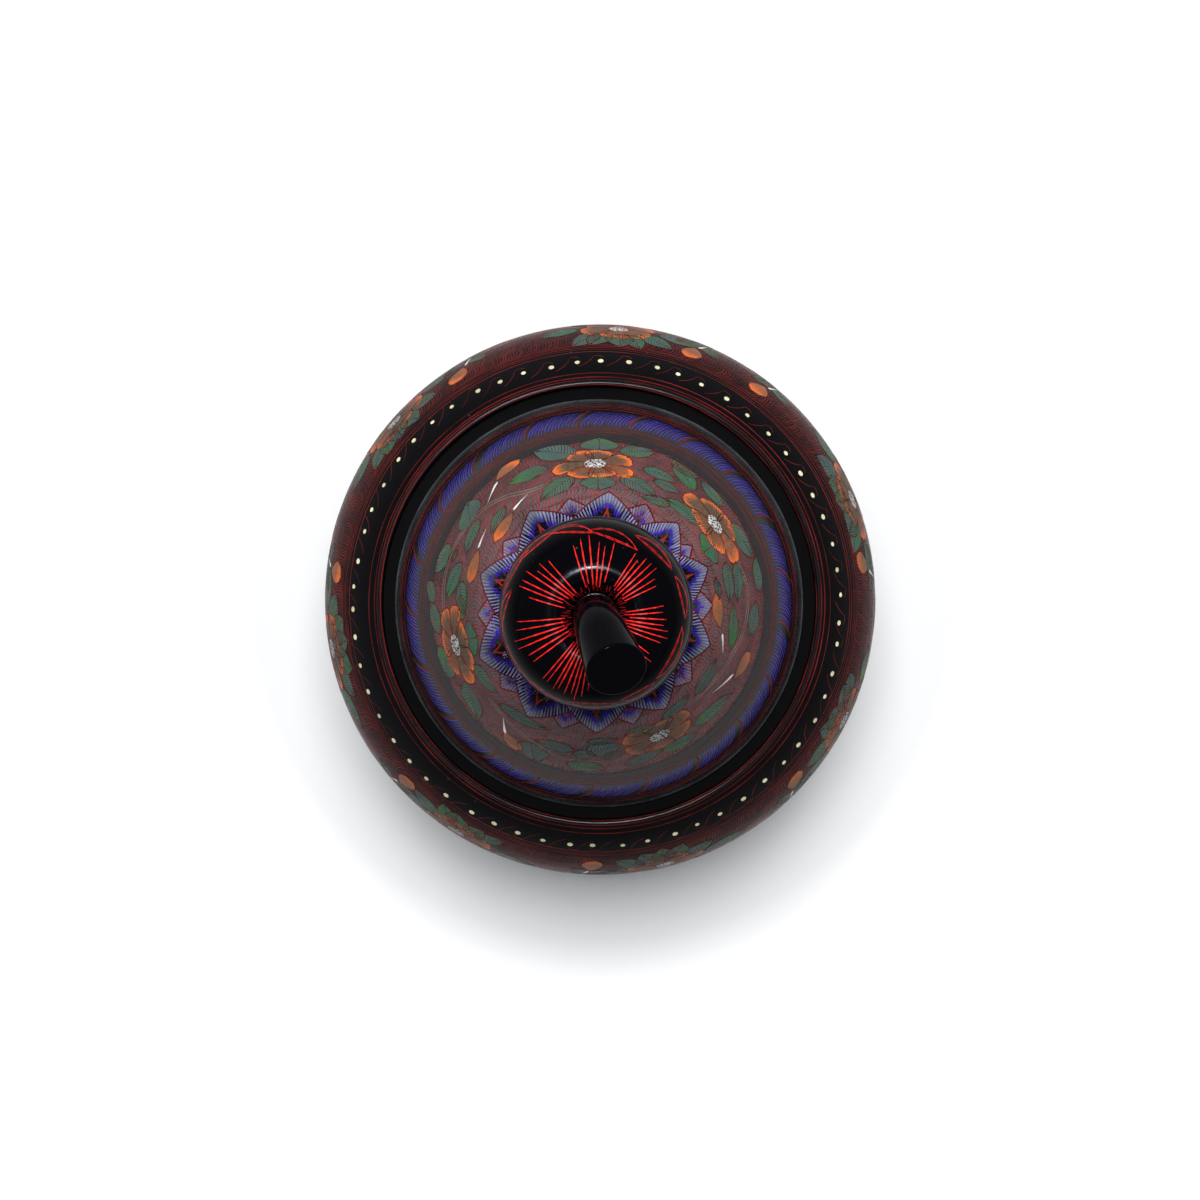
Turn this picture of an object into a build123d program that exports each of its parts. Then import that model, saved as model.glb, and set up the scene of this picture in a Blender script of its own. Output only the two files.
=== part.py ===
"""Turned and lacquered wooden box with a domed lid, a ball knob and a curved stalk.

Everything is in millimetres. +Z is up and the origin is the centre of the foot.
The box, the lid and the knob are turned about Z, and the stalk is a carved peg.
"""

import os
from math import acos, cos, degrees, radians, sin, sqrt

from build123d import *

# Box: an egg-shaped pot that stands on a turned foot ring
belly_radius = 75.0
belly_height = 60.0
shoulder_rise = 58.0
bowl_depth = 64.0
foot_radius = 36.0
foot_ring_width = 7.0
foot_recess_depth = 2.0
foot_edge_radius = 0.8

# Box: the hollow inside
belly_wall = 7.5
floor_thickness = 9.0
neck_length = 9.0
neck_edge_radius = 1.5

# Box: the flat seat that the lid stands on, sunk behind a rounded lip
mouth_radius = 46.0
lip_radius = 55.2
lip_edge_radius = 0.9
seat_depth = 3.8

# Lid: the dome, from its rim up to the flat crown
rim_radius = 52.2
rim_height = 2.4
rim_edge_radius = 0.8
rim_shoulder_radius = 0.4
flank_inset = 0.6
flank_top_radius = 26.3
flank_height = 61.0
flank_bulge = 2.6
crown_turn_radius = 9.0
crown_thickness = 12.0

# Lid: the hollow inside and the flange that drops into the mouth
flange_clearance = 0.35
flange_wall = 3.2
flange_depth = 7.0
flange_lead = 0.6
dome_wall = 6.5
dome_bulge = 1.2

# Knob: a ball with a dimple on top, on a short neck with a tenon below it
knob_radius = 20.8
knob_neck_radius = 10.5
knob_neck_height = 1.6
knob_lower_height = 13.0
knob_upper_height = 16.5
knob_top_radius = 9.5
dimple_depth = 4.5
dimple_floor_radius = 4.6
tenon_radius = 5.5
tenon_length = 8.0
tenon_chamfer = 0.6

# Stalk: a curved, flaring peg with a square-cut end
stalk_foot_radius = 4.2
stalk_end_radius = 6.1
stalk_direction = -66.0
stalk_lean = 35.0
stalk_upright = 2.0
stalk_bend_radius = 30.0
stalk_straight = 9.5
stalk_end_edge = 0.5
stalk_sections = 6
peg_radius = 3.0
peg_length = 9.0
peg_chamfer = 0.5

# Glued joints: the shoulders meet face to face, and each hole is a little larger
glue_gap = 0.15
glue_well = 0.6

# Heights that the pieces share
lip_height = belly_height + shoulder_rise * sqrt(1 - (lip_radius / belly_radius) ** 2)
seat_height = lip_height - seat_depth
neck_foot_height = seat_height - neck_length
rim_top_height = seat_height + rim_height
flank_top_height = rim_top_height + flank_height


def ring_edges(shape, radius, height, tolerance=0.01):
    """The circular edges of a turned shape that lie at one radius and one height."""
    circles = shape.edges().filter_by(GeomType.CIRCLE)
    return circles.filter_by(
        lambda edge: abs(edge.radius - radius) < tolerance
        and abs(edge.arc_center.Z - height) < tolerance
    )


def quarter_angle(radius, full_radius):
    """The angle along a quarter ellipse at which it reaches a radius."""
    return degrees(acos(radius / full_radius))


# Box
inner_radius = belly_radius - belly_wall
inner_rise = (neck_foot_height - belly_height) / sqrt(1 - (mouth_radius / inner_radius) ** 2)
inner_depth = belly_height - floor_thickness
foot_top_height = belly_height - bowl_depth * sqrt(1 - (foot_radius / belly_radius) ** 2)
foot_recess_radius = foot_radius - foot_ring_width

with BuildPart() as body:
    with BuildSketch(Plane.XZ):
        with BuildLine():
            Polyline(
                (0, floor_thickness),
                (0, foot_recess_depth),
                (foot_recess_radius, foot_recess_depth),
                (foot_recess_radius, 0),
                (foot_radius, 0),
                (foot_radius, foot_top_height),
            )
            EllipticalCenterArc(
                (0, belly_height),
                belly_radius,
                bowl_depth,
                start_angle=-quarter_angle(foot_radius, belly_radius),
                arc_size=quarter_angle(foot_radius, belly_radius),
            )
            EllipticalCenterArc(
                (0, belly_height),
                belly_radius,
                shoulder_rise,
                start_angle=0,
                arc_size=quarter_angle(lip_radius, belly_radius),
            )
            Polyline(
                (lip_radius, lip_height),
                (lip_radius, seat_height),
                (mouth_radius, seat_height),
                (mouth_radius, neck_foot_height),
            )
            EllipticalCenterArc(
                (0, belly_height),
                inner_radius,
                inner_rise,
                start_angle=0,
                arc_size=quarter_angle(mouth_radius, inner_radius),
            )
            EllipticalCenterArc(
                (0, belly_height),
                inner_radius,
                inner_depth,
                start_angle=-90,
                arc_size=90,
            )
        make_face()
    revolve(axis=Axis.Z)
    fillet(ring_edges(body.part, lip_radius, lip_height), lip_edge_radius)
    fillet(ring_edges(body.part, mouth_radius, neck_foot_height), neck_edge_radius)
    fillet(ring_edges(body.part, foot_radius, 0), foot_edge_radius)

# Lid
flange_radius = mouth_radius - flange_clearance
hollow_radius = flange_radius - flange_wall
flange_foot_height = seat_height - flange_depth

with BuildPart() as lid:
    with BuildSketch(Plane.XZ):
        with BuildLine():
            flank = SagittaArc(
                (rim_radius - flank_inset, rim_top_height),
                (flank_top_radius, flank_top_height),
                -flank_bulge,
            )
            crown_slope = (flank % 1).get_angle(Vector(-1, 0, 0))
            crown_turn = JernArc(flank @ 1, flank % 1, crown_turn_radius, crown_slope)
            crown_height = (crown_turn @ 1).Y
            ceiling_height = crown_height - crown_thickness
            Line(crown_turn @ 1, (0, crown_height))
            Line((0, crown_height), (0, ceiling_height))
            dome_top = (flank_top_radius - dome_wall, ceiling_height)
            Line((0, ceiling_height), dome_top)
            SagittaArc(dome_top, (hollow_radius, seat_height), dome_bulge)
            Polyline(
                (hollow_radius, seat_height),
                (hollow_radius, flange_foot_height),
                (flange_radius, flange_foot_height),
                (flange_radius, seat_height),
                (rim_radius, seat_height),
                (rim_radius, rim_top_height),
                (rim_radius - flank_inset, rim_top_height),
            )
        make_face()
    revolve(axis=Axis.Z)
    fillet(ring_edges(lid.part, rim_radius, rim_top_height), rim_shoulder_radius)
    fillet(ring_edges(lid.part, rim_radius, seat_height), rim_edge_radius)
    chamfer(ring_edges(lid.part, flange_radius, flange_foot_height), flange_lead)
    with BuildSketch(Plane.XY.offset(crown_height)):
        Circle(tenon_radius + glue_gap)
    extrude(amount=-(tenon_length + glue_well), mode=Mode.SUBTRACT)

# Knob
neck_top_height = crown_height + knob_neck_height
knob_waist_height = neck_top_height + knob_lower_height
knob_top_height = knob_waist_height + knob_upper_height
dimple_floor_height = knob_top_height - dimple_depth
tenon_foot_height = crown_height - tenon_length

with BuildPart() as knob:
    with BuildSketch(Plane.XZ):
        with BuildLine():
            Polyline(
                (0, dimple_floor_height),
                (0, tenon_foot_height),
                (tenon_radius, tenon_foot_height),
                (tenon_radius, crown_height),
                (knob_neck_radius, crown_height),
                (knob_neck_radius, neck_top_height),
            )
            EllipticalCenterArc(
                (knob_neck_radius, knob_waist_height),
                knob_radius - knob_neck_radius,
                knob_lower_height,
                start_angle=-90,
                arc_size=90,
            )
            EllipticalCenterArc(
                (knob_top_radius, knob_waist_height),
                knob_radius - knob_top_radius,
                knob_upper_height,
                start_angle=0,
                arc_size=90,
            )
            EllipticalCenterArc(
                (knob_top_radius, dimple_floor_height),
                knob_top_radius - dimple_floor_radius,
                dimple_depth,
                start_angle=90,
                arc_size=90,
            )
            Line((dimple_floor_radius, dimple_floor_height), (0, dimple_floor_height))
        make_face()
    revolve(axis=Axis.Z)
    chamfer(ring_edges(knob.part, tenon_radius, tenon_foot_height), tenon_chamfer)
    with BuildSketch(Plane.XY.offset(dimple_floor_height)):
        Circle(peg_radius + glue_gap)
    extrude(amount=-(peg_length + glue_well), mode=Mode.SUBTRACT)

# Stalk: round sections set square to its bent centre line
lean_axis = Plane(
    origin=(0, 0, dimple_floor_height),
    x_dir=(cos(radians(stalk_direction)), sin(radians(stalk_direction)), 0),
    z_dir=(sin(radians(stalk_direction)), -cos(radians(stalk_direction)), 0),
)

with BuildLine(lean_axis) as stalk_path:
    rise = Line((0, 0), (0, stalk_upright))
    bend = JernArc(rise @ 1, rise % 1, stalk_bend_radius, -stalk_lean)
    Line(bend @ 1, bend @ 1 + (bend % 1) * stalk_straight)

stalk_line = stalk_path.wire()

with BuildPart() as stalk:
    for step in range(stalk_sections):
        share = step / (stalk_sections - 1)
        radius = stalk_foot_radius + (stalk_end_radius - stalk_foot_radius) * share
        with BuildSketch(Plane(origin=stalk_line @ share, z_dir=stalk_line % share)):
            Circle(radius)
    loft()
    end_face = stalk.faces().sort_by(Axis(stalk_line @ 0, stalk_line % 1))[-1]
    fillet(end_face.edges(), stalk_end_edge)
    with BuildSketch(Plane.XY.offset(dimple_floor_height)):
        Circle(peg_radius)
    extrude(amount=-peg_length)
    chamfer(ring_edges(stalk.part, peg_radius, dimple_floor_height - peg_length), peg_chamfer)

body.part.label = "body"
lid.part.label = "lid"
knob.part.label = "knob"
stalk.part.label = "stalk"

os.makedirs("parts", exist_ok=True)
export_step(body.part, "parts/body.step")
export_step(lid.part, "parts/lid.step")
export_step(knob.part, "parts/knob.step")
export_step(stalk.part, "parts/stalk.step")

print("seat height", round(seat_height, 3))
print("crown height", round(crown_height, 3))
print("knob top height", round(knob_top_height, 3))
print("stalk end", stalk_line @ 1)
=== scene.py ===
"""Looks of a turned lacquer box: pot, domed lid, ball knob and stalk, with scratched ornament.

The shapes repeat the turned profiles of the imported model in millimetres. Each turned piece is
spun about Z from its profile. The ornament is drawn flat, as an angle in degrees and a travel
in millimetres along the profile, and is then wrapped round the piece a few hundredths of a
millimetre proud of its lacquer.
"""

from __future__ import annotations

import logging
import math
import random
from dataclasses import dataclass, field
from enum import Enum
from typing import Iterable, Sequence

import bmesh
import bpy
import numpy as np
from mathutils import Matrix, Vector

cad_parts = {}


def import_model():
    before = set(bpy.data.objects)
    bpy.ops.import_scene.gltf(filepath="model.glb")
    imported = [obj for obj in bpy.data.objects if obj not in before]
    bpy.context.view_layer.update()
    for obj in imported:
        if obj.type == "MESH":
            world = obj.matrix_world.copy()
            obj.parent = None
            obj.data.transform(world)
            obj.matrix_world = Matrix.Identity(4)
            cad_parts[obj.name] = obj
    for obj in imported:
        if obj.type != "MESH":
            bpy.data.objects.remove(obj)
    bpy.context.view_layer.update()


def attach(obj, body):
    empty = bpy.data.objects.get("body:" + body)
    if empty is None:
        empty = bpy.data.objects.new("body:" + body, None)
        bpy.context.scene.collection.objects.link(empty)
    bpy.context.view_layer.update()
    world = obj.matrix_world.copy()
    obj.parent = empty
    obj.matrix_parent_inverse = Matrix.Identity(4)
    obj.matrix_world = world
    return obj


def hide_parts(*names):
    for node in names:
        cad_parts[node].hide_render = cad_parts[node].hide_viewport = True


MM = 0.001
TURN = 360.0
DRAWING_MAP = "OFBake"
RING_STEPS = 288

Point = tuple[float, float]
Colour = tuple[float, float, float]
Place = tuple[float, float, float]

log = logging.getLogger("lacquer_box")


def shown(red: int, green: int, blue: int) -> Colour:
    """A colour given as it shows on screen, turned into linear light.

    Args:
        red: Its red, 0 to 255.
        green: Its green, likewise.
        blue: Its blue, likewise.

    Returns:
        The colour as linear parts, 0 to 1.
    """
    parts = [value / 255 for value in (red, green, blue)]
    return tuple(v / 12.92 if v <= 0.04045 else ((v + 0.055) / 1.055) ** 2.4 for v in parts)


class Body(Enum):
    """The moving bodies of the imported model."""

    BOX = "box"
    LID = "lid"


class Layer(Enum):
    """How far marks stand proud of the lacquer, in millimetres, from the lowest up."""

    WASH = 0.006
    GROUND = 0.012
    LINE = 0.018
    VINE = 0.024
    FILL = 0.036
    HATCH = 0.044
    EDGE = 0.05
    TOP = 0.056


class Ink(Enum):
    """The colours that the ornament is scratched and laid in."""

    MAROON = "maroon"
    RED = "red"
    PURPLE = "purple"
    LILAC = "lilac"
    LEAF = "leaf"
    PETAL = "petal"
    WHITE = "white"
    CREAM = "cream"
    VINE = "vine"
    GROUND = "ground"
    # A grey skin of colour; on the lid's rim it is painted reflection, the grey sheen of steep
    # lacquer.
    WASH = "wash"


# Profiles


def ellipse_arc(centre: Point, radii: Point, start: float, end: float, steps: int) -> list[Point]:
    """Points along an elliptical arc of a profile.

    Args:
        centre: Radius and height of the ellipse's centre.
        radii: Half widths of the ellipse across and up.
        start: First angle in degrees, from the outward direction.
        end: Last angle in degrees.
        steps: Number of runs along the arc.

    Returns:
        The points as (radius, height), ends included.
    """
    angles = np.radians(np.linspace(start, end, steps + 1))
    return [
        (centre[0] + radii[0] * math.cos(angle), centre[1] + radii[1] * math.sin(angle))
        for angle in angles
    ]


def bulged_arc(start: Point, end: Point, bulge: float, steps: int) -> list[Point]:
    """Points along a circular arc that bulges to the right of its chord.

    Args:
        start: First point as (radius, height).
        end: Last point.
        bulge: Height of the arc over its chord.
        steps: Number of runs along the arc.

    Returns:
        The points, ends included.
    """
    across, up = end[0] - start[0], end[1] - start[1]
    chord = math.hypot(across, up)
    side = (up / chord, -across / chord)
    circle = (chord * chord / 4 + bulge * bulge) / (2 * bulge)
    half = math.asin(chord / 2 / circle)
    points = []
    for step in range(steps + 1):
        turn = half * (2 * step / steps - 1)
        along = 0.5 + circle * math.sin(turn) / chord
        out = circle * (math.cos(turn) - math.cos(half))
        points.append(
            (start[0] + across * along + side[0] * out, start[1] + up * along + side[1] * out)
        )
    return points


def arc_end_slope(points: Sequence[Point]) -> float:
    """The slope in degrees at the end of an arc, from the inward direction."""
    (r0, z0), (r1, z1) = points[-2], points[-1]
    return math.degrees(math.atan2(z1 - z0, r0 - r1))


class Profile:
    """The open outer line of a turned piece, which marks are placed on by their travel."""

    def __init__(self, points: Sequence[Point]) -> None:
        """Measure the travel along the points.

        Args:
            points: The line as (radius, height), from low to high.
        """
        line = np.array(points)
        steps = np.hypot(*np.diff(line, axis=0).T)
        self.travels = np.concatenate(([0.0], np.cumsum(steps)))
        self.line = line
        tangent = np.gradient(line, self.travels, axis=0)
        tangent /= np.hypot(*tangent.T)[:, None]
        self.normals = np.stack([tangent[:, 1], -tangent[:, 0]], axis=1)

    @property
    def length(self) -> float:
        """The whole travel of the line."""
        return float(self.travels[-1])

    def place(self, travel: np.ndarray, lift: np.ndarray | float = 0.0) -> tuple:
        """Find places on the line.

        Args:
            travel: Millimetres from its start.
            lift: Millimetres outwards from the line.

        Returns:
            Their radii and their heights.
        """
        radius, height, out, up = (
            np.interp(travel, self.travels, values)
            for values in (*self.line.T, *self.normals.T)
        )
        return radius + out * lift, height + up * lift

    def degree(self, travel: np.ndarray) -> np.ndarray:
        """The width in millimetres of one degree of turn at a travel."""
        return np.maximum(self.place(travel)[0], 0.5) * math.pi / 180


# Meshes


def finished(name: str, shape: bmesh.types.BMesh, sharp: float = 28.0) -> bpy.types.Object:
    """Turn a bmesh into a piece of the scene.

    Args:
        name: Name of the piece.
        shape: Its mesh, in place, which is freed.
        sharp: Edges that turn by more than this many degrees stay sharp.

    Returns:
        The new object.
    """
    limit = math.radians(sharp)
    for face in shape.faces:
        face.smooth = True
    for edge in shape.edges:
        edge.smooth = len(edge.link_faces) != 2 or edge.calc_face_angle(0.0) < limit
    mesh = bpy.data.meshes.new(name)
    shape.to_mesh(mesh)
    shape.free()
    piece = bpy.data.objects.new(name, mesh)
    bpy.context.scene.collection.objects.link(piece)
    return piece


@dataclass(frozen=True)
class Run:
    """A stretch of a turned profile that wears one finish."""

    points: Sequence[Point]
    finish: int = 0


def turned(name: str, runs: Sequence[Run], segments: int = RING_STEPS) -> bpy.types.Object:
    """Spin a closed profile about Z.

    Args:
        name: Name of the piece.
        runs: Its profile, as runs that meet end to start, in millimetres.
        segments: Number of sides of the turned surface.

    Returns:
        The piece, whose faces wear the finishes of their runs.
    """
    shape = bmesh.new()
    travel_layer = shape.verts.layers.float.new("travel")
    verts: list[bmesh.types.BMVert] = []
    ends: list[float] = []
    travel = 0.0
    for run in runs:
        for radius, height in run.points:
            spot = Vector((radius * MM, 0, height * MM))
            if verts and (verts[-1].co - spot).length < 1e-9:
                continue
            travel += (spot - verts[-1].co).length / MM if verts else 0.0
            verts.append(shape.verts.new(spot))
            verts[-1][travel_layer] = travel
        ends.append(travel)
    edges = [
        shape.edges.new(pair) for pair in zip(verts, verts[1:]) if max(v.co.x for v in pair) > 1e-9
    ]
    bmesh.ops.spin(
        shape,
        geom=verts + edges,
        cent=(0, 0, 0),
        axis=(0, 0, 1),
        angle=math.tau,
        steps=segments,
        use_merge=True,
    )
    for face in shape.faces:
        middle = sum(vert[travel_layer] for vert in face.verts) / len(face.verts)
        face.material_index = runs[int(np.searchsorted(ends[:-1], middle))].finish
    bmesh.ops.remove_doubles(shape, verts=shape.verts, dist=1e-7)
    bmesh.ops.recalc_face_normals(shape, faces=shape.faces)
    return finished(name, shape)


# Ornament


def drawn(angles: np.ndarray | float, travels: np.ndarray | float) -> np.ndarray:
    """Rows of (angle, travel), where one of the two may be a single value."""
    return np.stack(np.broadcast_arrays(angles, travels), axis=-1)


@dataclass(frozen=True)
class Spot:
    """A place on the unrolled surface that a motif is drawn about."""

    profile: Profile
    angle: float
    travel: float
    turn: float = 0.0

    def lay(self, along: np.ndarray, aside: np.ndarray) -> np.ndarray:
        """Lay points of a motif on the surface.

        Args:
            along: Millimetres in the motif's own direction.
            aside: Millimetres to the left of it.

        Returns:
            The points as rows of (angle, travel).
        """
        turn = math.radians(self.turn)
        across = along * math.cos(turn) - aside * math.sin(turn)
        travel = self.travel + along * math.sin(turn) + aside * math.cos(turn)
        return drawn(self.angle + across / self.profile.degree(travel), travel)


@dataclass(frozen=True)
class Mark:
    """One scratched line, dab or patch, as a centre line with a half width."""

    line: np.ndarray
    half: np.ndarray
    tone: np.ndarray
    lift: float
    across: int


class Pen:
    """Lays marks on one turned surface and makes pieces of them."""

    def __init__(self, profile: Profile, seed: int) -> None:
        """Start with nothing drawn.

        Args:
            profile: The surface's outer line.
            seed: Seed of the small differences of the hand.
        """
        self.profile = profile
        self.hand = random.Random(seed)
        self.marks: dict[Ink, list[Mark]] = {}

    def vary(self, value: float, share: float) -> float:
        """A value made a little larger or smaller, as a hand does."""
        return value * (1 + self.hand.uniform(-share, share))

    def shift(self, amount: float) -> float:
        """A small step to either side."""
        return self.hand.uniform(-amount, amount)

    def draw(
        self,
        ink: Ink,
        line: np.ndarray,
        half: np.ndarray | float,
        tone: np.ndarray | float,
        layer: Layer,
        across: int = 1,
    ) -> None:
        """Lay one mark.

        Args:
            ink: Its colour.
            line: Its centre line as rows of (angle, travel).
            half: Its half width in millimetres, along the line.
            tone: 0 for the ink's deep colour to 1 for its bright one, along the line.
            layer: How far it stands proud.
            across: Number of faces across its width.
        """
        count = len(line)
        self.marks.setdefault(ink, []).append(
            Mark(
                line,
                np.broadcast_to(half, count),
                np.broadcast_to(tone, count),
                layer.value,
                across,
            )
        )

    def flick(
        self,
        ink: Ink,
        start: Point,
        end: Point,
        half: float,
        tone: float | Point = 0.5,
        layer: Layer = Layer.LINE,
        bow: float = 0.0,
        steps: int = 4,
    ) -> None:
        """Lay one scratch that thins at both ends and may bow to its left.

        Args:
            ink: Its colour.
            start: Its first (angle, travel).
            end: Its last.
            half: Its largest half width in millimetres.
            tone: Its tone, or those of its two ends.
            layer: How far it stands proud.
            bow: How far its middle stands aside, as a share of its length.
            steps: Number of faces along it.
        """
        share = np.linspace(0, 1, steps + 1)
        degree = float(self.profile.degree((start[1] + end[1]) / 2))
        across, up = end[0] - start[0], end[1] - start[1]
        rise = 4 * share * (1 - share) * bow
        line = drawn(
            start[0] + across * share - up / degree * rise,
            start[1] + up * share + across * degree * rise,
        )
        first, last = tone if isinstance(tone, tuple) else (tone, tone)
        width = half * (0.3 + 0.7 * np.sin(math.pi * np.clip(share, 0.06, 0.94)) ** 0.6)
        self.draw(ink, line, width, first + (last - first) * share, layer)

    def ring(self, ink: Ink, travel: float, half: float, tone: float, wave: float = 0.12) -> None:
        """Lay one line all the way round.

        Args:
            ink: Its colour.
            travel: Where it runs.
            half: Its half width in millimetres.
            tone: Its middle tone.
            wave: How far it wanders up and down, in millimetres.
        """
        angles = np.linspace(0, TURN, RING_STEPS + 1)
        turns = np.radians(angles)
        starts = [self.hand.uniform(0, math.tau) for _ in range(6)]
        wander = np.sin(turns + starts[0]) + 0.6 * np.sin(2 * turns + starts[1])
        beat = 0.5 * np.sin(5 * turns + starts[2]) + 0.5 * np.sin(23 * turns + starts[3])
        fade = 0.5 * np.sin(3 * turns + starts[4]) + 0.3 * np.sin(17 * turns + starts[5])
        line = drawn(angles, travel + wave * wander)
        self.draw(ink, line, half * (1 + 0.3 * beat), np.clip(tone + 0.25 * fade, 0, 1), Layer.LINE)

    def pieces(self, prefix: str, body: Body) -> list[bpy.types.Object]:
        """Make one piece of all the marks of each ink.

        Args:
            prefix: First word of the pieces' names.
            body: The body that they ride on.

        Returns:
            The pieces.
        """
        made = []
        for ink, marks in self.marks.items():
            piece = self.wrapped(f"{prefix}_{ink.value}_marks", marks)
            piece.data.materials.append(INK_FINISHES[ink].material())
            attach(piece, body.value)
            log.info("%s: %d marks, %d faces", piece.name, len(marks), len(piece.data.polygons))
            made.append(piece)
        return made

    def wrapped(self, name: str, marks: Sequence[Mark]) -> bpy.types.Object:
        """Wrap marks round the surface as one mesh.

        Args:
            name: Name of the piece.
            marks: The marks.

        Returns:
            The piece, with its tones and its flat drawing as a map.
        """
        groups: dict[tuple[int, int], list[Mark]] = {}
        for mark in marks:
            groups.setdefault((len(mark.line), mark.across), []).append(mark)
        shape = bmesh.new()
        between: list[int] = []
        places, tones, flats = [], [], []
        for (count, across), group in groups.items():
            between += self.lay_grid(shape, len(group), count, across)
            angles, travels = np.stack([mark.line for mark in group]).transpose(2, 0, 1)
            half = np.stack([mark.half for mark in group])
            tone = np.stack([mark.tone for mark in group])
            lift = np.array([mark.lift for mark in group])[:, None]
            degree = self.profile.degree(travels)
            along = np.gradient(angles, axis=1) * degree
            up = np.gradient(travels, axis=1)
            length = np.maximum(np.hypot(along, up), 1e-9)
            shift = np.floor(angles.mean(axis=1) / TURN)[:, None] * TURN
            for side in np.linspace(-1, 1, across + 1):
                angle = angles - side * half * up / length / degree
                travel = travels + side * half * along / length
                radius, height = self.profile.place(travel, lift)
                turn = np.radians(angle)
                spots = np.stack([radius * np.cos(turn), radius * np.sin(turn), height], axis=-1)
                places.append(spots.reshape(-1, 3) * MM)
                tones.append(tone.ravel())
                flat = np.stack([(angle - shift) / TURN, travel / self.profile.length], axis=-1)
                flats.append(0.04 + 0.92 * flat.reshape(-1, 2))
        shape.faces.ensure_lookup_table()
        bmesh.ops.delete(shape, geom=[shape.faces[face] for face in between], context="FACES")
        mesh = bpy.data.meshes.new(name)
        shape.to_mesh(mesh)
        shape.free()
        mesh.vertices.foreach_set("co", np.concatenate(places).astype(np.float32).ravel())
        mesh.attributes.new("tone", "FLOAT", "POINT").data.foreach_set(
            "value", np.concatenate(tones).astype(np.float32)
        )
        corners = np.empty(len(mesh.loops), np.int32)
        mesh.loops.foreach_get("vertex_index", corners)
        drawing = mesh.uv_layers.new(name=DRAWING_MAP, do_init=False)
        flat = np.concatenate(flats)[corners].astype(np.float32)
        drawing.uv.foreach_set("vector", flat.ravel())
        mesh.polygons.foreach_set("use_smooth", np.ones(len(mesh.polygons), bool))
        mesh.update()
        piece = bpy.data.objects.new(name, mesh)
        bpy.context.scene.collection.objects.link(piece)
        return piece

    @staticmethod
    def lay_grid(shape: bmesh.types.BMesh, marks: int, count: int, across: int) -> list[int]:
        """Add one long grid that is to be cut into as many strips as there are marks.

        Args:
            shape: The bmesh that it joins.
            marks: Number of strips.
            count: Vertices along each strip.
            across: Faces across each strip.

        Returns:
            The numbers of the faces that stand between the strips.
        """
        first = len(shape.faces)
        columns = marks * count - 1
        bmesh.ops.create_grid(shape, x_segments=columns, y_segments=across, size=0.5)
        return [
            first + row * columns + column
            for row in range(across)
            for column in range(count - 1, columns, count)
        ]


@dataclass(frozen=True)
class Leaf:
    """A pointed leaf with a midrib, veins and one brighter side."""

    length: float
    half: float
    bright: float = 0.5
    veins: int = 12

    def width(self, share: np.ndarray) -> np.ndarray:
        """Half width along the leaf, fuller towards its foot."""
        return self.half * np.sin(math.pi * share**0.8) ** 0.85

    def draw(self, pen: Pen, spot: Spot) -> None:
        """Lay the leaf with its foot on a spot.

        Args:
            pen: The pen.
            spot: The spot.
        """
        share = np.linspace(0, 1, 10)
        curl = pen.shift(0.12) * self.length
        sway = curl * np.sin(math.pi * share / 2) ** 2
        width = self.width(share)
        body = spot.lay(share * self.length, sway)
        end = pen.hand.choice((share, 1 - share))
        fill = np.clip(0.7 * self.bright**1.5 * end**1.5 + pen.shift(0.05), 0, 1)
        pen.draw(Ink.LEAF, body, np.maximum(width, 0.02), fill, Layer.FILL, 4)
        for side in (-1, 1):
            edge = spot.lay(share * self.length, sway + side * width)
            ragged = 0.13 + 0.05 * np.sin(share * 41 + side + self.length)
            pen.draw(Ink.MAROON, edge, ragged, 0.18, Layer.EDGE)
        pen.draw(Ink.MAROON, body[:-1], 0.08, 0.2, Layer.EDGE)
        lit = pen.hand.choice((-1, 1))
        for side in (-1, 1):
            for vein in range(self.veins):
                foot = (vein + 0.6) / (self.veins + 1.2)
                tip = min(foot + 0.2, 0.97)
                reach = float(self.width(np.array(tip))) * 0.92
                stem = np.linspace(0, 1, 4)
                at = foot + (tip - foot) * stem
                aside = side * reach * stem**0.8 + curl * np.sin(math.pi * at / 2) ** 2
                line = spot.lay(at * self.length, aside)
                if side == lit and self.bright > 0.35:
                    tones = np.clip(0.2 + self.bright * (0.1 + 0.8 * stem), 0, 1)
                    pen.draw(Ink.LEAF, line, 0.16 * (0.6 + 0.5 * stem), tones, Layer.HATCH)
                shade = 0.3 * pen.hand.random()
                pen.draw(Ink.MAROON, line, pen.vary(0.075, 0.3), shade, Layer.EDGE)


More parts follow.
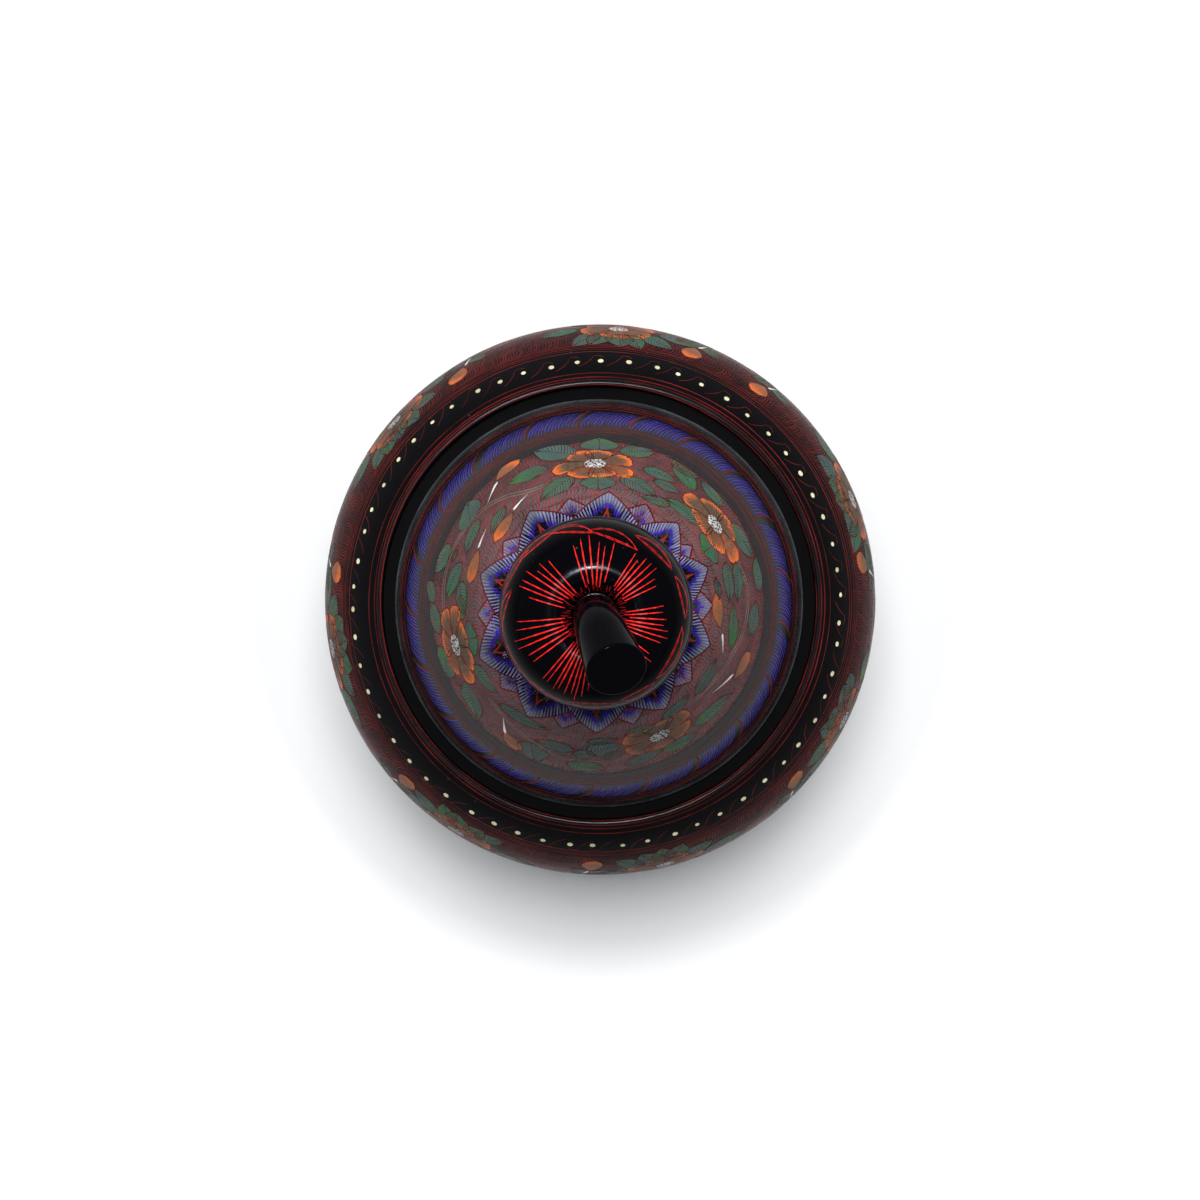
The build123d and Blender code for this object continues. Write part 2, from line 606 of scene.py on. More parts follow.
@dataclass(frozen=True)
class Blossom:
    """A wide open flower with rounded petals, hatched rims and a pale streaky middle."""

    half_width: float = 10.4
    half_height: float = 7.5
    petals: int = 6
    # How bright the colours are painted; callers set it by side as painted light.
    glow: float = 1.0
    start: float = 20.0
    heart: float = 0.14
    disc_reach: float = 2.6
    disc_half: float = 2.2
    streak_rows: int = 7
    hatches: int = 13
    folds: int = 9

    def outward(self, share: np.ndarray) -> np.ndarray:
        """Where a share of a petal lies, as a share of its reach from the flower's middle."""
        return self.heart + (1 - self.heart) * share

    def petal(self, pen: Pen, spot: Spot, direction: float) -> None:
        """Lay one petal.

        Args:
            pen: The pen.
            spot: The flower's middle.
            direction: The petal's direction in degrees.
        """
        turn = math.radians(direction)
        reach = 1 / math.hypot(
            math.cos(turn) / self.half_width, math.sin(turn) / self.half_height
        )
        reach *= 1 + pen.shift(0.06)
        mean = math.sqrt(self.half_width * self.half_height)
        half = mean * math.pi / self.petals * 0.95 * math.sqrt(mean / reach)
        own = Spot(spot.profile, spot.angle, spot.travel, direction)
        share = np.linspace(0, 1, 11)
        along = self.outward(share) * reach
        width = half * share**0.55 * np.sqrt(np.clip(1 - share**7, 0, 1))
        fill = own.lay(along, 0 * share)
        tones = 0.02 + 0.16 * self.glow * share**3
        pen.draw(Ink.PETAL, fill, np.maximum(width, 0.1), tones, Layer.FILL, 6)
        for side in (-1, 1):
            pen.draw(Ink.MAROON, own.lay(along, side * width), 0.12, 0.12, Layer.EDGE)
        fine = np.linspace(0, 1, 4)
        for step in range(self.hatches):
            aside = (step / (self.hatches - 1) * 2 - 1) * 0.9
            top = (1 - 0.24 * abs(aside) ** 2.4) * pen.vary(0.97, 0.03)
            depth = pen.vary(0.22, 0.45)
            at = top - depth * (1 - fine)
            place = aside * half * np.minimum(at, 0.9) ** 0.5
            tones = np.clip(self.glow * (0.5 + 0.6 * fine) + pen.shift(0.1), 0, 1)
            line = own.lay(self.outward(at) * reach, place)
            pen.draw(Ink.PETAL, line, pen.vary(0.19, 0.2) * (0.4 + 0.9 * fine), tones, Layer.HATCH)
        for step in range(self.folds):
            aside = (step / (self.folds - 1) * 2 - 1) * 0.72
            at = 0.12 + pen.vary(0.66, 0.1) * fine
            line = own.lay(self.outward(at) * reach, aside * half * at**0.55)
            pen.draw(Ink.MAROON, line, 0.06, 0.3, Layer.HATCH)

    def draw(self, pen: Pen, spot: Spot) -> None:
        """Lay the flower on a spot.

        Args:
            pen: The pen.
            spot: The spot.
        """
        for petal in range(self.petals):
            direction = self.start + TURN / self.petals * petal + pen.shift(5)
            self.petal(pen, spot, direction)
        share = np.linspace(0, 1, 9)
        disc = spot.lay(self.disc_reach * (2 * share - 1), 0 * share)
        round_half = self.disc_half * np.sqrt(np.clip(1 - (2 * share - 1) ** 2, 0.004, 1))
        pen.draw(Ink.GROUND, disc, round_half, 0.1, Layer.EDGE, 4)
        for row in range(self.streak_rows):
            aside = (row / (self.streak_rows - 1) * 2 - 1) * 1.9
            reach = 2.5 * math.sqrt(1 - (aside / 2.3) ** 2)
            at = -reach
            while at < reach:
                run = pen.hand.uniform(0.5, 1.7)
                end = min(at + run, reach)
                line = spot.lay(np.linspace(at, end, 4), aside + np.array([0, 0.1, 0.08, 0]))
                bright = 0.2 + 0.8 * self.glow * pen.hand.uniform(0.4, 1)
                pen.draw(Ink.WHITE, line, pen.vary(0.19, 0.4), bright, Layer.TOP)
                at = end + pen.hand.uniform(0.2, 0.5)


@dataclass(frozen=True)
class Bud:
    """A closed bud with hatched tips, on a short dark stem."""

    length: float = 9.0
    half: float = 2.9
    # How bright the colours are painted; callers set it by side as painted light.
    glow: float = 1.0
    bow: float = 0.5
    hatches: int = 9

    def sway(self, share: np.ndarray) -> np.ndarray:
        """How far the bud's middle line stands aside, along its length."""
        return self.bow * np.sin(math.pi * share)

    def draw(self, pen: Pen, spot: Spot) -> None:
        """Lay the bud with its foot on a spot.

        Args:
            pen: The pen.
            spot: The spot.
        """
        share = np.linspace(0, 1, 10)
        width = self.half * np.sin(math.pi * share**1.25) ** 0.7
        line = spot.lay(share * self.length, self.sway(share))
        pen.draw(Ink.PETAL, line, np.maximum(width, 0.03), 0.1 + 0.12 * self.glow, Layer.FILL, 4)
        for side in (-1, 1):
            edge = spot.lay(share * self.length, self.sway(share) + side * width)
            pen.draw(Ink.MAROON, edge, 0.11, 0.2, Layer.EDGE)
        fine = np.linspace(0, 1, 4)
        for step in range(self.hatches):
            aside = (step / (self.hatches - 1) * 2 - 1) * 0.8
            top = 0.93 - 0.14 * abs(aside)
            at = top - pen.vary(0.3, 0.25) * (1 - fine)
            place = self.sway(at) + aside * self.half * (1 - 0.25 * at)
            tones = np.clip(self.glow * (0.4 + 0.6 * fine), 0, 1)
            pen.draw(Ink.PETAL, spot.lay(at * self.length, place), 0.22, tones, Layer.HATCH)


@dataclass(frozen=True)
class Glint:
    """A white stroke that swells to a blob at its end, beside a bud."""

    start: Point
    end: Point
    half: float = 0.55

    def draw(self, pen: Pen) -> None:
        """Lay the stroke.

        Args:
            pen: The pen.
        """
        share = np.linspace(0, 1, 10)
        line = np.linspace(self.start, self.end, len(share))
        width = self.half * (0.14 + 0.86 * share**1.5) * np.sqrt(np.clip(1.01 - share**12, 0, 1))
        pen.draw(Ink.WHITE, line, width, 0.35 + 0.65 * share**0.6, Layer.TOP, 2)


@dataclass(frozen=True)
class Vine:
    """A double line that winds between the flowers."""

    points: Sequence[Point]
    gap: float = 0.55
    half: float = 0.17
    steps: int = 12

    def draw(self, pen: Pen) -> None:
        """Lay both of its lines.

        Args:
            pen: The pen.
        """
        knots = np.array(self.points)
        share = np.linspace(0, len(knots) - 1, self.steps * (len(knots) - 1) + 1)
        smooth = []
        for values in knots.T:
            slopes = np.gradient(values)
            index = np.minimum(share.astype(int), len(values) - 2)
            local = share - index
            smooth.append(
                (2 * local**3 - 3 * local**2 + 1) * values[index]
                + (local**3 - 2 * local**2 + local) * slopes[index]
                + (3 * local**2 - 2 * local**3) * values[index + 1]
                + (local**3 - local**2) * slopes[index + 1]
            )
        line = np.stack(smooth, axis=-1)
        degree = pen.profile.degree(line[:, 1])
        along = np.gradient(line[:, 0]) * degree
        up = np.gradient(line[:, 1])
        length = np.hypot(along, up)
        for side in (-1, 1):
            gap = side * self.gap
            moved = drawn(
                line[:, 0] - gap * up / length / degree, line[:, 1] + gap * along / length
            )
            pen.draw(Ink.VINE, moved, self.half, 0.5 + 0.4 * np.sin(share * 2) ** 2, Layer.VINE)


@dataclass(frozen=True)
class ScaleGround:
    """The net of short curved scratches that fills the ground between the flowers."""

    low: float
    high: float
    pitch: float = 0.78
    row: float = 4.4
    slant: float = 1.7
    half: float = 0.15
    tone: float = 0.55
    curved_from: float = 200.0
    to_each_scale: int = 7

    def draw(self, pen: Pen) -> None:
        """Lay rows of scratches that overlap like scales.

        Args:
            pen: The pen.
        """
        rows = round((self.high - self.low) / self.row)
        step = (self.high - self.low) / rows
        for row in range(rows):
            foot = self.low + step * row
            degree = float(pen.profile.degree(foot + step / 2))
            count = round(TURN * degree / self.pitch)
            lean = self.slant * (1.0 if row % 2 else 0.7) / degree
            steps = 3 if foot + step < self.curved_from else 9
            for mark in range(count):
                angle = TURN * (mark + 0.5 * (row % 2)) / count + pen.shift(0.12) / degree
                swell = 0.5 + 0.5 * math.sin(mark * 0.42 + row * 2.1)
                start = (angle, foot - 0.35 + 0.5 * swell)
                end = (angle + lean, foot + step + 0.25 + 0.5 * swell)
                tone = self.tone * (1 + 0.6 * swell) + pen.shift(0.2)
                half = pen.vary(self.half, 0.25)
                pen.flick(Ink.MAROON, start, end, half, tone, Layer.GROUND, 0.16, steps)
            scales = max(round(count / self.to_each_scale), 12)
            for scale in range(scales):
                angle = TURN * (scale + 0.5 * (row % 2)) / scales
                start = (angle, foot + pen.shift(0.3))
                end = (angle + TURN / scales * 1.05, foot + pen.shift(0.3))
                pen.flick(Ink.MAROON, start, end, 0.1, 0.3, Layer.LINE, 0.2, 5)


@dataclass(frozen=True)
class Wash:
    """A thin grey skin laid in rings, its tone changing along the travel; at the lid's rim it is
    painted reflection, the grey sheen of the steep lacquer.
    """

    low: float
    high: float
    tone: Point
    step: float = 1.0

    def draw(self, pen: Pen) -> None:
        """Lay the skin as rings that meet.

        Args:
            pen: The pen.
        """
        rings = round((self.high - self.low) / self.step)
        angles = np.linspace(0, TURN, RING_STEPS + 1)
        for ring in range(rings):
            share = (ring + 0.5) / rings
            travel = self.low + (self.high - self.low) * share
            tone = self.tone[0] + (self.tone[1] - self.tone[0]) * share
            half = (self.high - self.low) / rings / 2
            pen.draw(Ink.WASH, drawn(angles, travel), half, tone, Layer.WASH, 2)


@dataclass(frozen=True)
class LeafBand:
    """A turning band of slanted strokes in one colour, parted by dark red slashes."""

    low: float
    high: float
    segments: int = 21
    strokes: int = 14
    slant: float = 4.2
    start: float = 9.0
    reach: float = 0.82
    half: float = 0.075
    tone: float = 0.72
    slashes: int = 2
    spikes: int = 4

    def draw(self, pen: Pen) -> None:
        """Lay the band.

        Args:
            pen: The pen.
        """
        pitch = TURN / self.segments
        for segment in range(self.segments):
            origin = self.start + pitch * segment + pen.shift(0.8)
            reach = pitch * pen.vary(self.reach, 0.03)
            for stroke in range(self.strokes):
                share = (stroke + 0.5) / self.strokes
                angle = origin + reach * share + pen.shift(0.1)
                swell = math.sin(math.pi * share) ** 0.5
                low = self.low + 0.5 + (1 - swell) * 1.2 + pen.shift(0.35)
                high = self.high - 1.6 * (1 - share) * 0.6 + pen.shift(0.8)
                start = (angle, low)
                end = (angle + self.slant * (0.8 + 0.4 * share), high)
                tone = (pen.vary(self.tone, 0.3), 1.0)
                half = pen.vary(self.half, 0.3)
                pen.flick(Ink.PURPLE, start, end, half, tone, Layer.LINE, -0.05, 6)
            slash = origin - pitch * 0.07
            for step in range(self.slashes):
                shift = step * 0.5
                start = (slash + shift - 0.6, self.low - 0.4)
                end = (slash + self.slant * 0.9 + shift * 0.6, self.high + 0.5)
                pen.flick(Ink.MAROON, start, end, pen.vary(0.13, 0.2), 0.5, Layer.VINE, -0.08, 6)
            for step in range(self.spikes):
                share = (step + 0.5) / self.spikes
                angle = origin + self.slant + reach * share + pen.shift(0.8)
                start = (angle, self.high - pen.vary(0.3, 0.9))
                end = (angle + 1.3, self.high + pen.vary(0.9, 0.5))
                pen.flick(Ink.MAROON, start, end, 0.1, 0.5, Layer.VINE, 0.1, 3)


@dataclass(frozen=True)
class LotusCrown:
    """Pointed petals that stand round the crown, in front of and behind each other."""

    tips: Sequence[Point]
    foot: float = 80.5
    shoulder: float = 5.9
    strokes: int = 26

    def petal(self, pen: Pen, middle: float, half: float, tip: float, front: bool) -> None:
        """Lay one petal.

        Args:
            pen: The pen.
            middle: Its angle.
            half: Half its full width, in degrees.
            tip: The travel of its point.
            front: Whether it stands in front.
        """
        travel = np.linspace(tip, self.foot, 19)
        radius = pen.profile.place(travel)[0]
        reached = (radius[0] - radius) / self.shoulder
        spread = half * np.minimum(reached, 1)
        skin, strokes, rim = (Layer.GROUND, Layer.LINE, Layer.VINE)
        if front:
            skin, strokes, rim = (Layer.FILL, Layer.HATCH, Layer.EDGE)
        degree = pen.profile.degree(travel)
        fill = drawn(middle, travel)
        pale = np.clip(0.75 - 1.1 * reached, 0, 1)
        pen.draw(Ink.GROUND, fill, np.maximum(spread * degree, 0.02), pale, skin, 6)
        for side in (-1, 1):
            edge = drawn(middle + side * spread, travel)
            pen.draw(Ink.MAROON, edge, 0.24 - 0.1 * np.minimum(reached, 1), 0.25, rim)
        fine = np.linspace(0, 1, 9)
        outer, inner = slice(0, 6), slice(4, None)
        for stroke in range(self.strokes):
            aside = ((stroke + 0.5) / self.strokes * 2 - 1) * 0.97
            first = abs(aside) + 0.03
            last = first + (0.5 + 0.25 * abs(aside)) * pen.vary(1, 0.2)
            at = first + (last - first) * fine
            curl = 0.2 * half * np.sin(math.pi * fine / 2) ** 1.5 * aside
            line = drawn(middle + half * aside - curl, np.interp(at, reached, travel))
            width = pen.vary(0.135, 0.25) * (0.65 + 0.6 * np.sin(math.pi * (0.1 + 0.8 * fine)))
            glow = pen.vary(0.8, 0.25) * (1.0 if front else 0.7)
            pale = np.clip(glow * (1.1 - 1.2 * fine[outer]), 0, 1)
            pen.draw(Ink.LILAC, line[outer], width[outer], pale, strokes)
            deep = np.clip(glow * (1.25 - 1.1 * fine[inner]), 0, 1)
            pen.draw(Ink.PURPLE, line[inner], width[inner] * 1.05, deep, strokes)
        if front:
            peak = float(np.interp(0.62, reached, travel))
            for side in (-1, 1):
                end = (middle + side * half * 0.14 + pen.shift(0.5), peak + 3.2)
                pen.flick(Ink.MAROON, (middle, peak), end, 0.2, 0.75, Layer.TOP, side * 0.08, 4)

    def draw(self, pen: Pen) -> None:
        """Lay the petals behind and then those in front.

        Args:
            pen: The pen.
        """
        (first, first_tip), *others = self.tips
        nexts = [*others, (first + TURN, first_tip)]
        for (here, tip), (after, _) in zip(self.tips, nexts):
            middle = (here + after) / 2 + pen.shift(0.8)
            self.petal(pen, middle, (after - here) * 0.5, tip + pen.vary(1.2, 0.6), False)
        last = self.tips[-1][0] - TURN
        befores = [last, *(angle for angle, _ in self.tips[:-1])]
        for (here, tip), before, (after, _) in zip(self.tips, befores, nexts):
            self.petal(pen, here, (after - before) / 4 * 1.12, tip + pen.shift(0.4), True)


@dataclass(frozen=True)
class DotRope:
    """A ring of pale dots with slanted red strokes between them."""

    waves: Sequence[Point]
    dots: int = 58
    half: float = 0.66

    def draw(self, pen: Pen) -> None:
        """Lay the ring.

        Args:
            pen: The pen.
        """
        angles, travels = zip(*self.waves)
        share = np.linspace(0, 1, 9)
        circle = np.sqrt(np.clip(1 - (2 * share - 1) ** 2, 0.003, 1))
        pitch = TURN / self.dots
        for dot in range(self.dots):
            angle = pitch * (dot + 0.35) + pen.shift(0.7)
            travel = float(np.interp(angle, angles, travels)) + pen.shift(0.35)
            size = pen.vary(self.half, 0.15)
            spot = Spot(pen.profile, angle, travel, 90 + pen.shift(12))
            line = spot.lay(size * 1.12 * (2 * share - 1), 0 * share)
            pen.draw(Ink.CREAM, line, size * circle, pen.vary(0.8, 0.2), Layer.TOP, 4)
            start = (angle + pitch * 0.28, travel - 2.0 + pen.shift(0.4))
            end = (angle + pitch * 0.86, travel + 2.2 + pen.shift(0.4))
            pen.flick(Ink.MAROON, start, end, 0.11, pen.vary(0.28, 0.3), Layer.LINE, 0.1, 5)
            low = (angle - pitch * 0.1, travel - 1.7)
            high = (angle + pitch * 0.3, travel - 2.2)
            pen.flick(Ink.MAROON, low, high, 0.1, 0.35, Layer.LINE, -0.2, 4)


# Finishes


class Sockets(Enum):
    """Kinds of node group sockets."""

    COLOUR = "NodeSocketColor"
    VALUE = "NodeSocketFloat"


class Tree:
    """A short way to place and link shader nodes."""

    def __init__(self, tree: bpy.types.NodeTree) -> None:
        """Hold the tree."""
        self.tree = tree

    def node(self, kind: str, links: dict | None = None, **settings: object) -> bpy.types.Node:
        """Place a node.

        Args:
            kind: Its type, without the word ShaderNode.
            links: Its inputs by name or number: a socket to link or a value to set.
            **settings: Its properties.

        Returns:
            The node.
        """
        node = self.tree.nodes.new(kind if kind.startswith("Node") else "ShaderNode" + kind)
        for name, value in settings.items():
            setattr(node, name, value)
        for name, value in (links or {}).items():
            if isinstance(value, bpy.types.NodeSocket):
                self.tree.links.new(value, node.inputs[name])
            else:
                node.inputs[name].default_value = value
        return node

    def math(self, operation: str, *values: object) -> bpy.types.NodeSocket:
        """The result of one Math node."""
        links = dict(enumerate(values))
        return self.node("Math", links, operation=operation).outputs[0]

    def mix(self, share: object, first: object, second: object) -> bpy.types.NodeSocket:
        """A blend of two colours.

        Args:
            share: How much of the second colour there is.
            first: The first colour, as a socket or a value.
            second: The second colour, likewise.

        Returns:
            The blend.
        """
        node = self.node("Mix", data_type="RGBA")
        for index, value in ((0, share), (6, first), (7, second)):
            if isinstance(value, bpy.types.NodeSocket):
                self.tree.links.new(value, node.inputs[index])
            elif index == 0:
                node.inputs[index].default_value = value
            else:
                node.inputs[index].default_value = (*value[:3], 1)
        return node.outputs[2]

    def ramp(self, value: object, low: float, high: float) -> bpy.types.NodeSocket:
        """A value spread from 0 at one value to 1 at another, held at the ends.

        Args:
            value: The value, as a socket.
            low: Where it gives 0.
            high: Where it gives 1.

        Returns:
            The spread value.
        """
        links = {"Value": value, "From Min": low, "From Max": high}
        return self.node("MapRange", links, clamp=True).outputs[0]

    def noise(self, where: object, scale: float, detail: float = 3.0) -> bpy.types.NodeSocket:
        """Soft noise at a place.

        Args:
            where: The place, as a socket.
            scale: Patches in each unit of length.
            detail: How many finer noises are laid over it.

        Returns:
            The noise, about 0 to 1.
        """
        links = {"Vector": where, "Scale": scale, "Detail": detail, "Roughness": 0.6}
        return self.node("TexNoise", links).outputs["Fac"]


def new_group(name: str, inputs: dict, outputs: dict) -> tuple[bpy.types.NodeTree, Tree, object]:
    """Start a shader node group.

    Args:
        name: Its name.
        inputs: Its inputs' names, with their kinds.
        outputs: Its outputs' names, with their kinds.

    Returns:
        The group, a way to fill it, and its input node's outputs.
    """
    group = bpy.data.node_groups.new(name, "ShaderNodeTree")
    for in_out, sockets in (("INPUT", inputs), ("OUTPUT", outputs)):
        for socket, kind in sockets.items():
            group.interface.new_socket(socket, in_out=in_out, socket_type=kind.value)
    tree = Tree(group)
    return group, tree, tree.node("NodeGroupInput").outputs


class Effects:
    """The node groups that several finishes share, each built once."""

    made: dict[str, bpy.types.NodeTree] = {}

    @classmethod
    def turning(cls) -> bpy.types.NodeTree:
        """Lathe marks, hand wear and dust on a turned surface.

        Returns:
            The group: Colour, Roughness and Height out of Deep, Pale, Lines and Gloss.
        """
        if "turning" not in cls.made:
            kinds = {"Deep": Sockets.COLOUR, "Pale": Sockets.COLOUR}
            kinds |= {"Lines": Sockets.VALUE, "Gloss": Sockets.VALUE}
            results = {"Colour": Sockets.COLOUR}
            results |= {"Roughness": Sockets.VALUE, "Height": Sockets.VALUE}
            group, tree, given = new_group("turning_marks", kinds, results)
            place = tree.node("TexCoord").outputs["Object"]
            travel = tree.node("Attribute", attribute_name="travel").outputs["Fac"]
            parts = tree.node("SeparateXYZ", {0: place}).outputs
            angle = tree.math("ARCTAN2", parts["Y"], parts["X"])
            lathe = tree.node(
                "TexNoise",
                {"W": travel, "Scale": 1.7, "Detail": 5.0, "Roughness": 0.75},
                noise_dimensions="1D",
            ).outputs["Fac"]
            unrolled = tree.node(
                "CombineXYZ",
                {
                    "X": tree.math("MULTIPLY", tree.math("SINE", angle), 2.2),
                    "Y": tree.math("MULTIPLY", tree.math("COSINE", angle), 2.2),
                    "Z": tree.math("MULTIPLY", travel, 1.6),
                },
            ).outputs[0]
            scuffs = tree.ramp(tree.noise(unrolled, 3.0, 6.0), 0.58, 0.8)
            cloud = tree.ramp(tree.noise(place, 28.0), 0.35, 0.75)
            grains = tree.node("TexVoronoi", {"Vector": place, "Scale": 330.0})
            chosen = tree.math("GREATER_THAN", tree.noise(place, 60.0, 1.0), 0.62)
            dust = tree.math("MULTIPLY", tree.ramp(grains.outputs["Distance"], 0.1, 0.04), chosen)
            lines = tree.math("MULTIPLY", tree.ramp(lathe, 0.35, 0.8), given["Lines"])
            wear = tree.math("MULTIPLY", tree.math("ADD", cloud, scuffs), 0.22)
            share = tree.node(
                "Math", {0: tree.math("ADD", lines, wear), 1: 0.0}, operation="ADD", use_clamp=True
            ).outputs[0]
            colour = tree.mix(share, given["Deep"], given["Pale"])
            dusty = tree.mix(tree.math("MULTIPLY", dust, 0.12), colour, (0.5, 0.48, 0.45))
            dulled = tree.math("ADD", cloud, tree.math("ADD", scuffs, dust))
            rough = tree.math("ADD", given["Gloss"], tree.math("MULTIPLY", dulled, 0.07))
            height = tree.math("SUBTRACT", tree.math("MULTIPLY", lathe, 0.6), scuffs)
            links = {"Colour": dusty, "Roughness": rough, "Height": height}
            tree.node("NodeGroupOutput", links)
            cls.made["turning"] = group
        return cls.made["turning"]

    @classmethod
    def scratch(cls) -> bpy.types.NodeTree:
        """Uneven lacquer colour in scratched and laid marks.

        Returns:
            The group: Colour, Roughness and Height out of Deep, Bright and Gloss.
        """
        if "scratch" not in cls.made:
            kinds = {"Deep": Sockets.COLOUR, "Bright": Sockets.COLOUR, "Gloss": Sockets.VALUE}
            results = {"Colour": Sockets.COLOUR}
            results |= {"Roughness": Sockets.VALUE, "Height": Sockets.VALUE}
            group, tree, given = new_group("scratched_colour", kinds, results)
            place = tree.node("TexCoord").outputs["Object"]
            tone = tree.node("Attribute", attribute_name="tone").outputs["Fac"]
            grit = tree.noise(place, 1500.0, 2.0)
            patch = tree.noise(place, 90.0, 2.0)
            uneven = tree.math("ADD", tree.math("SUBTRACT", grit, 0.5), tree.ramp(patch, 0.2, 0.8))
            lift = tree.math("MULTIPLY", tree.math("SUBTRACT", uneven, 0.5), 0.5)
            share = tree.node("Math", {0: tone, 1: lift}, operation="ADD", use_clamp=True)
            colour = tree.mix(share.outputs[0], given["Deep"], given["Bright"])
            rough = tree.math("ADD", given["Gloss"], tree.math("MULTIPLY", grit, 0.12))
            links = {"Colour": colour, "Roughness": rough, "Height": grit}
            tree.node("NodeGroupOutput", links)
            cls.made["scratch"] = group
        return cls.made["scratch"]


@dataclass(frozen=True)
class Finish:
    """A finish with one shared effect, two colours and a gloss."""

    name: str
    deep: Colour
    pale: Colour
    gloss: float = 0.14
    lines: float = 0.15
    bump: float = 0.05
    ior: float = 1.22

    def effect(self) -> bpy.types.NodeTree:
        """The shared effect that the finish shows."""
        return Effects.turning()

    def inputs(self) -> dict:
        """The values that the finish gives its effect."""
        return {
            "Deep": (*self.deep, 1),
            "Pale": (*self.pale, 1),
            "Lines": self.lines,
            "Gloss": self.gloss,
        }

    def material(self) -> bpy.types.Material:
        """The material, made once."""
        name = f"{self.name}_finish"
        if name in bpy.data.materials:
            return bpy.data.materials[name]
        material = bpy.data.materials.new(name)
        material.use_nodes = True
        tree = Tree(material.node_tree)
        shader = material.node_tree.nodes["Principled BSDF"]
        effect = tree.node("Group", node_tree=self.effect())
        for name, value in self.inputs().items():
            effect.inputs[name].default_value = value
        bump = tree.node(
            "Bump",
            {"Height": effect.outputs["Height"], "Strength": self.bump, "Distance": 0.0002},
        )
        links = material.node_tree.links
        links.new(effect.outputs["Colour"], shader.inputs["Base Color"])
        links.new(effect.outputs["Roughness"], shader.inputs["Roughness"])
        links.new(bump.outputs[0], shader.inputs["Normal"])
        shader.inputs["IOR"].default_value = self.ior
        return material


@dataclass(frozen=True)
class InkFinish(Finish):
    """The finish of scratched and laid marks, from a deep to a bright tone."""

    ior: float = 1.09

    def effect(self) -> bpy.types.NodeTree:
        """The shared effect that the finish shows."""
        return Effects.scratch()

    def inputs(self) -> dict:
        """The values that the finish gives its effect."""
        return {"Deep": (*self.deep, 1), "Bright": (*self.pale, 1), "Gloss": self.gloss}


POT_LACQUER = Finish("pot_lacquer", shown(10, 10, 12), shown(23, 22, 25), ior=1.07)
LID_LACQUER = Finish("lid_lacquer", shown(14, 15, 18), shown(30, 31, 36), ior=1.07)
# Painted shade: the seat in the groove under the lid's rim is painted near black, darker than the
# pot, for the shade in that recess.
SEAT_LACQUER_PAINTED_DARK = Finish("seat_lacquer_painted_shade", shown(3, 3, 4), shown(9, 8, 9), 0.55, 0.4, 0.1, 1.05)
KNOB_LACQUER = Finish("knob_lacquer", shown(4, 4, 7), shown(11, 11, 15), 0.08, 0.08, ior=1.06)
INNER_LACQUER = Finish("inner_lacquer", shown(96, 22, 16), shown(142, 46, 32), 0.32, 0.7, 0.25)
BARE_WOOD = Finish("turned_wood", shown(132, 94, 58), shown(186, 146, 98), 0.55, 0.8, 0.5, 1.45)

INK_FINISHES = {
    Ink.MAROON: InkFinish("maroon_scratches", shown(30, 11, 10), shown(152, 44, 40), 0.5),
    Ink.RED: InkFinish("red_scratches", shown(96, 10, 12), shown(246, 40, 36), 0.3),
    Ink.PURPLE: InkFinish("purple_scratches", shown(26, 22, 56), shown(84, 52, 246), 0.3),
    Ink.LILAC: InkFinish("lilac_scratches", shown(54, 55, 78), shown(142, 142, 190), 0.3),
    # The grey wash is partly painted reflection: on the lid's rim it paints the grey sheen of the
    # steep lacquer.
    Ink.WASH: InkFinish("grey_wash_and_sheen", shown(20, 20, 22), shown(94, 95, 98), 0.14, ior=1.12),
    Ink.LEAF: InkFinish("leaf_scratches", shown(74, 98, 93), shown(16, 136, 58), 0.2),
    Ink.PETAL: InkFinish("petal_scratches", shown(92, 80, 62), shown(250, 118, 44), 0.25),
    Ink.WHITE: InkFinish("white_strokes", shown(96, 94, 88), shown(244, 243, 236), 0.3),
    Ink.CREAM: InkFinish("cream_dots", shown(150, 140, 96), shown(246, 240, 196), 0.3),
    Ink.VINE: InkFinish("vine_lines", shown(66, 58, 52), shown(128, 118, 106), 0.3),
    Ink.GROUND: InkFinish("petal_ground", shown(9, 9, 11), shown(126, 131, 138), 0.2),
}


# Pieces


def dress(
    piece: bpy.types.Object, finishes: Iterable[Finish], body: Body, node: str
) -> None:
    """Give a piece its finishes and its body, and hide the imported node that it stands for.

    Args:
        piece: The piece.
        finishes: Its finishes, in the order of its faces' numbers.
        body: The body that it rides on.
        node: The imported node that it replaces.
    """
    for finish in finishes:
        piece.data.materials.append(finish.material())
    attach(piece, body.value)
    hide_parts(node)
    log.info("%s: %d faces", piece.name, len(piece.data.polygons))


